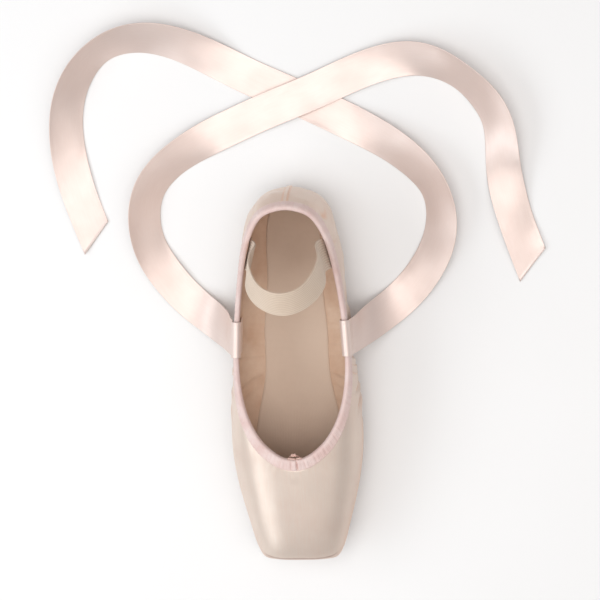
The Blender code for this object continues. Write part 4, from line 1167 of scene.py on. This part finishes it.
def make_insole():
    """A padded board: for each place on the outline its edge is found on the upper's inner face, and the top
    swells a little towards its middle line."""
    at = np.linspace(0.0, TOE_AT, 150)
    fine = np.linspace(0.0, LOWER_SHARE, 40)
    around = np.repeat(at[:, None], len(fine), axis=1)
    outer = last_surface(around, fine[None])
    inner = outer - outward_normal(around, fine[None]) * wall(outer[..., 0])[..., None]
    start = inner[:, 0]
    reach = np.linalg.norm(inner[..., :2] - start[:, None, :2], axis=-1)
    top_z = start[:, 2] + PIECE_GAP + INSOLE_THICKNESS
    out = np.array([np.interp(z, heights, far) for z, heights, far in zip(top_z, inner[..., 2], reach)])
    outward = unit(outer[:, -1, :2] - start[:, :2])
    edge = start[:, :2] + outward * np.maximum(out - INSOLE_CLEARANCE, 0.0)[:, None]
    order = np.argsort(edge[:, 0])
    edge = edge[order]
    low, high = edge[0, 0], edge[-1, 0]
    ends = eased(10.0, 22)
    x = np.concatenate([low + ends, np.arange(low + 11.2, high - 11, 1.6), high - ends[::-1]])
    half = np.interp(x, edge[:, 0], np.maximum(edge[:, 1], 0.0))
    half[[0, -1]] = 0.0
    half = half * smooth_step(0.0, 1.0, np.sqrt(np.clip((high - x) / 3.0, 0, 1)))
    board = sole_top(x) + 2 * PIECE_GAP + wall(x)
    share = np.linspace(-1.0, 1.0, 33)
    round_edge = np.minimum(0.6, 0.3 * half)
    y = (half - round_edge)[:, None] * share[None]
    at_x = np.repeat(x[:, None], len(share), axis=1)
    swell = INSOLE_SWELL * (1 - share[None] ** 4) * wobble(np.stack([at_x, y, 0 * y], -1), 30.0, 9)
    top = np.stack([at_x, y, board[:, None] + INSOLE_THICKNESS + swell], axis=-1)[:, ::-1]
    bottom = np.stack([at_x, y, board[:, None] + 0 * y], axis=-1)
    side = np.stack([x, half, board + INSOLE_THICKNESS / 2], axis=-1)[:, None]
    rings = np.concatenate([bottom, side, top, side * (1, -1, 1)], axis=1)
    worn = sum(
        strength * bump_at(rings[..., 0], x0, spread_x) * bump_at(rings[..., 1], y0, spread_y)
        for strength, x0, spread_x, y0, spread_y in INSOLE_PRINTS
    )
    values = {"worn": np.clip(worn, 0, 1)}
    piece = loft("insole_sock", rings, INSOLE_CLOTH, along=x, cap=False, values=values)
    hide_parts("insole")


# Straps: elastic and ribbons
BINDING_STAND = 0.6
BINDING_FACE = 1.2
RIBBON_WIDTH = 22.0
RIBBON_THICKNESS = 0.6
RIBBON_SAG_GAP = 0.5
RIBBON_SHEET = 0.34
SELVEDGE = 0.06
# Heights of the ribbons' curl, ripple and bow where they lie free, and of the slant of their cut ends
RIBBON_CURL = 0.55
RIBBON_RIPPLE = 0.42
RIBBON_BOW = 0.25
RIBBON_SLANT = 7.0
RIBBON_OFF_FLOOR = 0.08
ELASTIC_WIDTH = 19.0
ELASTIC_THICKNESS = 1.2
ELASTIC_CORDS = 13
# Half its thickness between the cords, what a cord adds, half its thickness at the edges, and its waviness
ELASTIC_WEB = 0.36
ELASTIC_SWELL = 0.17
ELASTIC_EDGE = 0.2
ELASTIC_WAVE = 0.12
ELASTIC_SAG_GAP = 0.5
RIBBON_X = 91.0
RIBBON_INSIDE = (22.0, 15.0, 8.0, 3.5, 0.0)
RIBBON_OUTSIDE = (0.0, 3.5, 8.0)
RIBBON_HUMP = 2.4
# The left ribbon's fall to the floor: x, y, z, then the plan angle of its width
RIBBON_FALL = (
    (90.4, 39.6, 28.0, 5.0),
    (89.2, 42.4, 20.6, 10.0),
    (86.6, 47.2, 13.2, 17.0),
    (82.2, 54.0, 6.8, 26.0),
    (76.0, 62.6, 2.6, 35.0),
)
# Their runs on the floor: x, y, how far they bank in degrees, and how far they are lifted
RIBBON_FLOOR = {
    1: (
        (58.0, 79.5, 12.0, 0.5),
        (33.0, 91.0, 28.0, 0.0),
        (5.0, 88.5, 38.0, 0.0),
        (-18.0, 69.0, 26.0, 0.0),
        (-36.0, 40.0, 2.0, 0.0),
        (-52.0, 8.0, 0.0, 0.0),
        (-67.0, -24.0, 0.0, 0.0),
        (-83.0, -55.0, 12.0, 0.0),
        (-93.0, -87.0, 36.0, 0.0),
        (-86.0, -117.0, 50.0, 0.0),
        (-62.0, -136.0, 44.0, 0.0),
        (-31.0, -141.0, 24.0, 0.0),
        (1.0, -136.0, 8.0, 0.0),
        (31.0, -126.0, 0.0, 0.4),
    ),
    -1: (
        (57.0, 80.0, 12.0, 0.5),
        (31.0, 92.5, 30.0, 0.0),
        (2.0, 90.0, 40.0, 0.0),
        (-20.0, 69.5, 26.0, 0.0),
        (-35.0, 41.0, 4.0, 1.4),
        (-47.0, 12.0, 0.0, 2.3),
        (-58.0, -17.0, 0.0, 2.3),
        (-70.0, -47.0, 0.0, 1.9),
        (-75.0, -79.0, 24.0, 0.2),
        (-62.0, -108.0, 46.0, 0.0),
        (-36.0, -127.0, 38.0, 0.0),
        (-6.0, -131.0, 16.0, 0.0),
        (25.0, -138.0, -14.0, 0.0),
        (54.0, -148.0, 0.0, 0.4),
    ),
}
ELASTIC_X = 39.0
ELASTIC_INSIDE = (20.0, 13.0, 6.0)
# Left half of the elastic's arch: x, y, z, then toe-in and dip of its width in degrees
ELASTIC_ARCH = (
    (40.4, 20.6, 54.0, 15.0, 8.0),
    (43.5, 21.6, 61.5, 13.0, 18.0),
    (48.5, 21.6, 69.5, 11.0, 27.0),
    (54.5, 18.4, 77.0, 8.0, 34.0),
    (60.5, 11.4, 83.6, 4.0, 38.0),
    (63.5, 0.0, 86.6, 0.0, 40.0),
)


def beside_wall(at, distances, thickness, sag_gap, outside):
    """Centre points of a strap against the binding, that far below the collar, one above the other."""
    level = levels_below_collar(np.array([at]), distances)[0]
    face = last_surface(at, level)
    clear = BINDING_STAND * BINDING_FACE + PIECE_GAP + thickness / 2 + sag_gap
    away = clear if outside else -clear - wall(face[:, 0])[:, None]
    centres = face + outward_normal(at, level) * away
    centres[:, 0] = last_surface(at, 1.0)[0]
    return centres


def collar_heading(at):
    """Which way the collar runs in plan, in degrees from the shoe's length."""
    run = last_surface(at + 2.0, 1.0) - last_surface(at - 2.0, 1.0)
    return math.degrees(math.atan2(run[1], run[0]))


def direction(turn, tilt):
    """A unit vector turned in plan and then tilted up, both in degrees."""
    turn, tilt = np.radians(turn), np.radians(tilt)
    return np.stack([np.cos(turn) * np.cos(tilt), np.sin(turn) * np.cos(tilt), np.sin(tilt)], axis=-1)


def square_to(centres, widths):
    """Width directions made square to the centre line."""
    along = unit(np.gradient(centres, axis=0))
    return unit(widths - along * (widths * along).sum(axis=1, keepdims=True))


def soften(angles, stations, reach):
    """A running mean of angles over a length, weighted by a bell."""
    weights = bump_at(stations[:, None] - stations[None], 0.0, reach)
    return weights @ angles / weights.sum(axis=1)


def band_rings(middle, faces, half_thick):
    """Rings of a flat band: its upper face, then its under face back again."""
    stand = faces[:, None] * half_thick[..., None]
    return np.concatenate([middle + stand, (middle - stand)[:, ::-1]], axis=1)


def ribbon_route(side, fold_step=0.7, floor_step=2.2):
    """Centre line and width directions of a ribbon, over the collar and along the floor."""
    at = place_of_x(RIBBON_X, up=1.0)
    inside = beside_wall(at, RIBBON_INSIDE, RIBBON_THICKNESS, RIBBON_SAG_GAP, outside=False)
    outside = beside_wall(at, RIBBON_OUTSIDE, RIBBON_THICKNESS, RIBBON_SAG_GAP, outside=True)
    middle = (inside[-1] + outside[0]) / 2
    crest = np.array([[middle[0], middle[1], last_surface(at, 1.0)[2] + RIBBON_HUMP]])
    over = np.vstack([inside, crest, outside])
    fall = np.array(RIBBON_FALL)
    run = np.array(RIBBON_FLOOR[side])
    bank = np.radians(run[:, 2])
    height = run[:, 3] + RIBBON_THICKNESS / 2 * np.cos(bank) + RIBBON_WIDTH / 2 * np.abs(np.sin(bank)) + 0.1
    plan = np.vstack([fall[-1:, :2], run[:, :2]])
    turn = np.degrees(np.unwrap(np.arctan2(*np.gradient(plan, axis=0).T[::-1]))[1:]) - 90.0
    route = np.vstack([
        np.column_stack([over, np.full(len(over), collar_heading(at)), np.zeros(len(over))]),
        np.column_stack([fall, np.zeros(len(fall))]),
        np.column_stack([run[:, :2], height, turn, run[:, 2]]),
    ])
    along = chord_lengths(route[:, :3])
    fold_end = along[len(over)]
    fold_count, floor_count = int(fold_end / fold_step), int((along[-1] - fold_end) / floor_step)
    stations = np.concatenate([
        np.linspace(0.0, fold_end, fold_count, endpoint=False), np.linspace(fold_end, along[-1], floor_count),
    ])
    centres = spline(along, route[:, :3], stations)
    turns, banks = along_line(stations, along, route[:, 3:]).T
    loose = smooth_step(fold_end - 6.0, fold_end + 20.0, stations)
    turns = turns + loose * (soften(turns, stations, 9.0) - turns)
    banks = banks + loose * (soften(banks, stations, 9.0) - banks)
    widths = square_to(centres, direction(turns, banks))
    mirror = np.array([1.0, side, 1.0])
    return centres * mirror, widths * mirror, stations, fold_end


def make_ribbon(side, name, node):
    """A satin ribbon: a flat band whose edges curl and ripple a little where it lies free, cut on the slant,
    never lower than the floor."""
    centres, widths, stations, fold_end = ribbon_route(side)
    along_way = unit(np.gradient(centres, axis=0))
    faces_up = unit(np.cross(widths, along_way)) * side
    faces_up *= np.where(faces_up[-1, 2] < 0, -1.0, 1.0)
    across = np.concatenate([[-1.0, -0.985, -0.955], np.linspace(-0.9, 0.9, 15), [0.955, 0.985, 1.0]])
    free = smooth_step(fold_end + 10.0, fold_end + 60.0, stations)[:, None]
    s = stations[:, None]
    curl = RIBBON_CURL * np.sin(s / 37.0 + side) * (across[None] ** 2 - 0.4)
    ripple = RIBBON_RIPPLE * np.sin(s / 9.5 + 2.0 * side + across[None] * 1.1) * across[None] ** 2
    bow = RIBBON_BOW * np.sin(s / 15.0 + 1.3) * (1 - across[None] ** 2)
    lift = free * (curl + ripple + bow)
    half_thick = RIBBON_SHEET / 2 + SELVEDGE * bump_at(np.abs(across), 0.965, 0.03)[None]
    at_end = smooth_step(stations[-1] - 14.0, stations[-1], stations)[:, None]
    slant = RIBBON_SLANT * across[None] * side * at_end
    middle = (
        centres[:, None] + widths[:, None] * across[None, :, None] * RIBBON_WIDTH / 2
        + faces_up[:, None] * lift[..., None] + along_way[:, None] * slant[..., None]
    )
    rings = band_rings(middle, faces_up, half_thick)
    rings[..., 2] += np.maximum(RIBBON_OFF_FLOOR - rings[..., 2].min(axis=1), 0.0)[:, None]
    piece = loft(name, rings, RIBBON_SATIN, along=stations)
    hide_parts(node)
    return centres, widths, faces_up, stations


def elastic_route(count=170):
    """Centre line and width directions of the elastic, from one quarter over the arch to the other."""
    at = place_of_x(ELASTIC_X, up=1.0)
    inside = beside_wall(at, ELASTIC_INSIDE, ELASTIC_THICKNESS, ELASTIC_SAG_GAP, outside=False)
    heading = collar_heading(at)
    sewn = np.column_stack([inside, np.full(len(inside), heading), np.zeros(len(inside))])
    half = np.vstack([sewn, ELASTIC_ARCH])
    route = np.vstack([half, half[-2::-1] * (1, -1, 1, -1, 1)])
    along = chord_lengths(route[:, :3])
    stations = np.linspace(0.0, along[-1], count)
    centres = spline(along, route[:, :3], stations)
    toe_in, dip = along_line(stations, along, route[:, 3:]).T
    toe_in, dip = soften(toe_in, stations, 4.0), soften(dip, stations, 4.0)
    return centres, square_to(centres, direction(toe_in, -dip)), stations


def make_elastic():
    """Ribbed elastic: its section is a row of thirteen cords side by side, carried along the arch."""
    centres, widths, stations = elastic_route()
    outward = unit(np.cross(unit(np.gradient(centres, axis=0)), widths))
    outward *= np.sign(outward[len(outward) // 2, 2])
    across = np.linspace(-1.0, 1.0, ELASTIC_CORDS * 6 + 1)
    swell = np.abs(np.sin((across + 1) / 2 * math.pi * ELASTIC_CORDS)) ** 0.6
    half_thick = ELASTIC_WEB + ELASTIC_SWELL * swell
    half_thick[[0, -1]] = ELASTIC_EDGE
    wave = ELASTIC_WAVE * np.sin(stations[:, None] / 4.0 + across[None] * 2.0)
    middle = centres[:, None] + widths[:, None] * across[None, :, None] * ELASTIC_WIDTH / 2
    middle = middle + outward[:, None] * wave[..., None]
    rings = band_rings(middle, outward, half_thick)
    rib = np.tile(np.concatenate([swell, swell[::-1]]), (len(stations), 1))
    piece = loft("ankle_elastic", rings, ELASTIC, along=stations, values={"rib": rib})
    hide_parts("elastic_band")
    return centres, widths, outward, stations


def sewn_square(centres, widths, faces, stations, half_width, start, end, lift):
    """Stitches round a box and across it, on one face of a strap: rows of centres, directions, normals."""
    inset = half_width - 2.0
    corners = (
        (start, -inset), (start, inset), (end, inset), (end, -inset), (start, -inset), (end, inset),
    )
    rows = []
    for (s0, w0), (s1, w1) in zip(corners[:-1], corners[1:]):
        t = np.linspace(0, 1, 40)
        s, w = s0 + (s1 - s0) * t, w0 + (w1 - w0) * t
        middle, width, face = (along_line(s, stations, values) for values in (centres, widths, faces))
        rows.append(even_row(middle + width * w[:, None] + face * lift, face, STRAP_STITCH[0]))
    return rows


def make_strap_stitches(ribbons, elastic):
    """The stitched boxes that hold ribbons and elastic inside the quarters."""
    rows = []
    for centres, widths, faces, stations in ribbons:
        inward = unit(-centres * (0, 1, 0))[len(centres) // 60]
        flip = np.sign((faces[2] * inward).sum())
        rows += sewn_square(centres, widths, faces * flip, stations, RIBBON_WIDTH / 2, 1.5, 13.0, 0.2)
    centres, widths, faces, stations = elastic
    for inward_y, span in ((-1, (1.2, 10.5)), (1, (stations[-1] - 1.2, stations[-1] - 10.5))):
        end = 2 if inward_y < 0 else -3
        flip = np.sign(faces[end, 1] * inward_y)
        rows += sewn_square(centres, widths, faces * flip, stations, ELASTIC_WIDTH / 2, *span, 0.5)
    make_stitches("strap_stitches", rows, "ribbon_satin", *STRAP_STITCH[1:])


# The drawstring: where its knot sits, its radii, and the way of its left end from the knot's middle
KNOT_BEHIND_COLLAR = (-2.5, 0.0, -3.0)
KNOT_SIZE = (0.496, 0.434, 0.36)
KNOT_CORD_RADIUS = 0.52
END_CORD_RADIUS = 0.5
BIT_CORD_RADIUS = 0.42
DRAWSTRING_END = ((0.2, 0.6, 0.6), (1.2, 2.4, -2.0), (4.6, 4.4, -4.9), (9.0, 6.0, -6.3), (13.0, 8.4, -7.2))
# Two bits of the cord lie on the tape's inner edge, either side of the slit, and dive back into it: y of
# each one's points, and how far they stand off the edge
DRAWSTRING_BITS = {"right": (1.0, 0.5, -0.7, -1.9, -2.8, -3.3), "left": (1.9, 2.3, 3.0, 3.8, 4.4, 4.8)}
BIT_STAND = (-1.3, 0.1, 0.45, 0.4, 0.0, -0.9)


def tube(points, radius, around=10):
    """Rings of a round tube about a line of points, turned as little as possible from one to the next."""
    along = unit(np.gradient(points, axis=0))
    guide = np.cross(along, np.tile([0.0, 0.0, 1.0], (len(points), 1)))
    guide = unit(guide + 1e-6)
    other = np.cross(along, guide)
    turn = np.arange(around) * 2 * math.pi / around
    radius = np.broadcast_to(radius, len(points))[:, None, None]
    return points[:, None] + radius * (
        guide[:, None] * np.cos(turn)[None, :, None] + other[:, None] * np.sin(turn)[None, :, None]
    )


def collar_rim(y):
    """Points on the crest of the tape's inner edge at the throat, for given y."""
    at = TOE_AT + np.linspace(-30.0, 30.0, 400)
    collar = last_surface(at, 1.0)
    order = np.argsort(collar[:, 1])
    x, z = (np.interp(y, collar[order, 1], collar[order, k]) for k in (0, 2))
    return np.stack([x - 1.0, y, z + 0.45], axis=-1)


def make_drawstring():
    """The knotted drawstring: an overhand knot as a trefoil curve, and two ends that tuck under the vamp."""
    throat = last_surface(TOE_AT, 1.0).ravel()
    centre = throat + np.array(KNOT_BEHIND_COLLAR)
    t = np.linspace(0.0, 2 * math.pi, 121)
    trefoil = np.stack([
        np.sin(3 * t), np.sin(t) + 2 * np.sin(2 * t), np.cos(t) - 2 * np.cos(2 * t),
    ], axis=-1) * KNOT_SIZE
    knot = loft("drawstring_knot_loop", tube(centre + trefoil, KNOT_CORD_RADIUS), CORD, cap=False)
    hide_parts("drawstring_knot")
    for side, label in ((-1, "right"), (1, "left")):
        route = centre + np.array(DRAWSTRING_END) * (1, side, 1)
        along = chord_lengths(route)
        line = spline(along, route, np.linspace(0.0, along[-1], 40))
        frayed = END_CORD_RADIUS + 0.1 * bump_at(np.linspace(0, 1, 40), 1, 0.1)
        end = loft("drawstring_end_" + label, tube(line, frayed), CORD)
    for label, sides in DRAWSTRING_BITS.items():
        line = collar_rim(np.array(sides)) + np.array(BIT_STAND)[:, None] * (-0.35, 0.0, 1.0)
        along = chord_lengths(line)
        line = spline(along, line, np.linspace(0.0, along[-1], 36))
        bit = loft("drawstring_bit_" + label, tube(line, BIT_CORD_RADIUS), CORD)


# Stage

CAMERA_LENS = 100.0
FRAME_WIDTH = 0.372
LOOK_AT = Vector((-0.0465, 0.004, 0.018))
CAMERA_TILT_TO_HEEL = 8.0
CAMERA_TILT_TO_LEFT = 5.7
ROLL = -1.9
FLOOR_HALF_SIZE = 3.0
# Name, place, aim, width and height in metres, power in watts, colour
LIGHTS = (
    ("key", (0.25, -0.98, 0.71), (0.05, 0.0, 0.02), (1.7, 0.46), 7.3, (0.90, 0.96, 1.0)),
    ("top", (-0.1, -0.1, 1.5), (0.0, 0.0, 0.0), (1.3, 1.3), 12.4, (1.0, 0.985, 0.97)),
    ("fill", (0.2, 0.75, 1.15), (0.0, 0.0, 0.02), (0.9, 0.9), 3.0, (1.0, 0.93, 0.88)),
)
SURROUND_COLOUR = (0.97, 0.98, 1.0)
SURROUND_STRENGTH = 0.38


def make_camera():
    """Over the shoe, toe down in the picture, tilted towards the heel and the shoe's left."""
    camera = bpy.data.objects.new("camera", bpy.data.cameras.new("camera"))
    bpy.context.scene.collection.objects.link(camera)
    camera.data.lens = CAMERA_LENS
    camera.data.sensor_width = 36.0
    back = Vector((
        -math.tan(math.radians(CAMERA_TILT_TO_HEEL)), math.tan(math.radians(CAMERA_TILT_TO_LEFT)), 1.0,
    )).normalized()
    distance = FRAME_WIDTH * CAMERA_LENS / 36.0
    camera.location = LOOK_AT + back * distance
    up = Vector((-1.0, 0.0, 0.0))
    right = up.cross(back).normalized()
    up = back.cross(right).normalized()
    turned = Matrix.Rotation(math.radians(ROLL), 3, back)
    right, up = turned @ right, turned @ up
    camera.rotation_mode = "QUATERNION"
    camera.rotation_quaternion = Matrix((right, up, back)).transposed().to_quaternion()
    camera.data.clip_start = 0.01
    camera.data.clip_end = 20.0
    bpy.context.scene.camera = camera


def area_light(name, position, target, size, power, colour):
    light = bpy.data.lights.new(name, "AREA")
    light.shape = "RECTANGLE"
    light.size, light.size_y = size
    light.energy = power
    light.color = colour
    lamp = bpy.data.objects.new(name, light)
    bpy.context.scene.collection.objects.link(lamp)
    lamp.location = position
    lamp.rotation_mode = "QUATERNION"
    lamp.rotation_quaternion = (Vector(target) - Vector(position)).to_track_quat("-Z", "Y")


def make_stage():
    """A pale floor, a long key light beside the shoe, a broad top light, a weak fill and an even surround."""
    corners = np.array([(-1, -1, 0), (1, -1, 0), (1, 1, 0), (-1, 1, 0)]) * FLOOR_HALF_SIZE
    mesh = bpy.data.meshes.new("floor")
    mesh.from_pydata(corners.tolist(), [], [(0, 1, 2, 3)])
    mesh.materials.append(floor_finish())
    floor = bpy.data.objects.new("floor", mesh)
    bpy.context.scene.collection.objects.link(floor)
    for light in LIGHTS:
        area_light(*light)
    world = bpy.context.scene.world or bpy.data.worlds.new("surround")
    bpy.context.scene.world = world
    world.use_nodes = True
    background = world.node_tree.nodes["Background"]
    background.inputs["Color"].default_value = (*SURROUND_COLOUR, 1.0)
    background.inputs["Strength"].default_value = SURROUND_STRENGTH
    bpy.context.scene.view_settings.view_transform = "Standard"


make_camera()
ribbons = []
for side, name, node in ((1, "satin_ribbon_left", "ribbon_left"), (-1, "satin_ribbon_right", "ribbon_right")):
    ribbons.append(make_ribbon(side, name, node))
make_upper()
make_binding()
make_outsole()
make_insole()
elastic = make_elastic()
make_seam_stitches()
make_strap_stitches(ribbons, elastic)
make_drawstring()
make_stage()
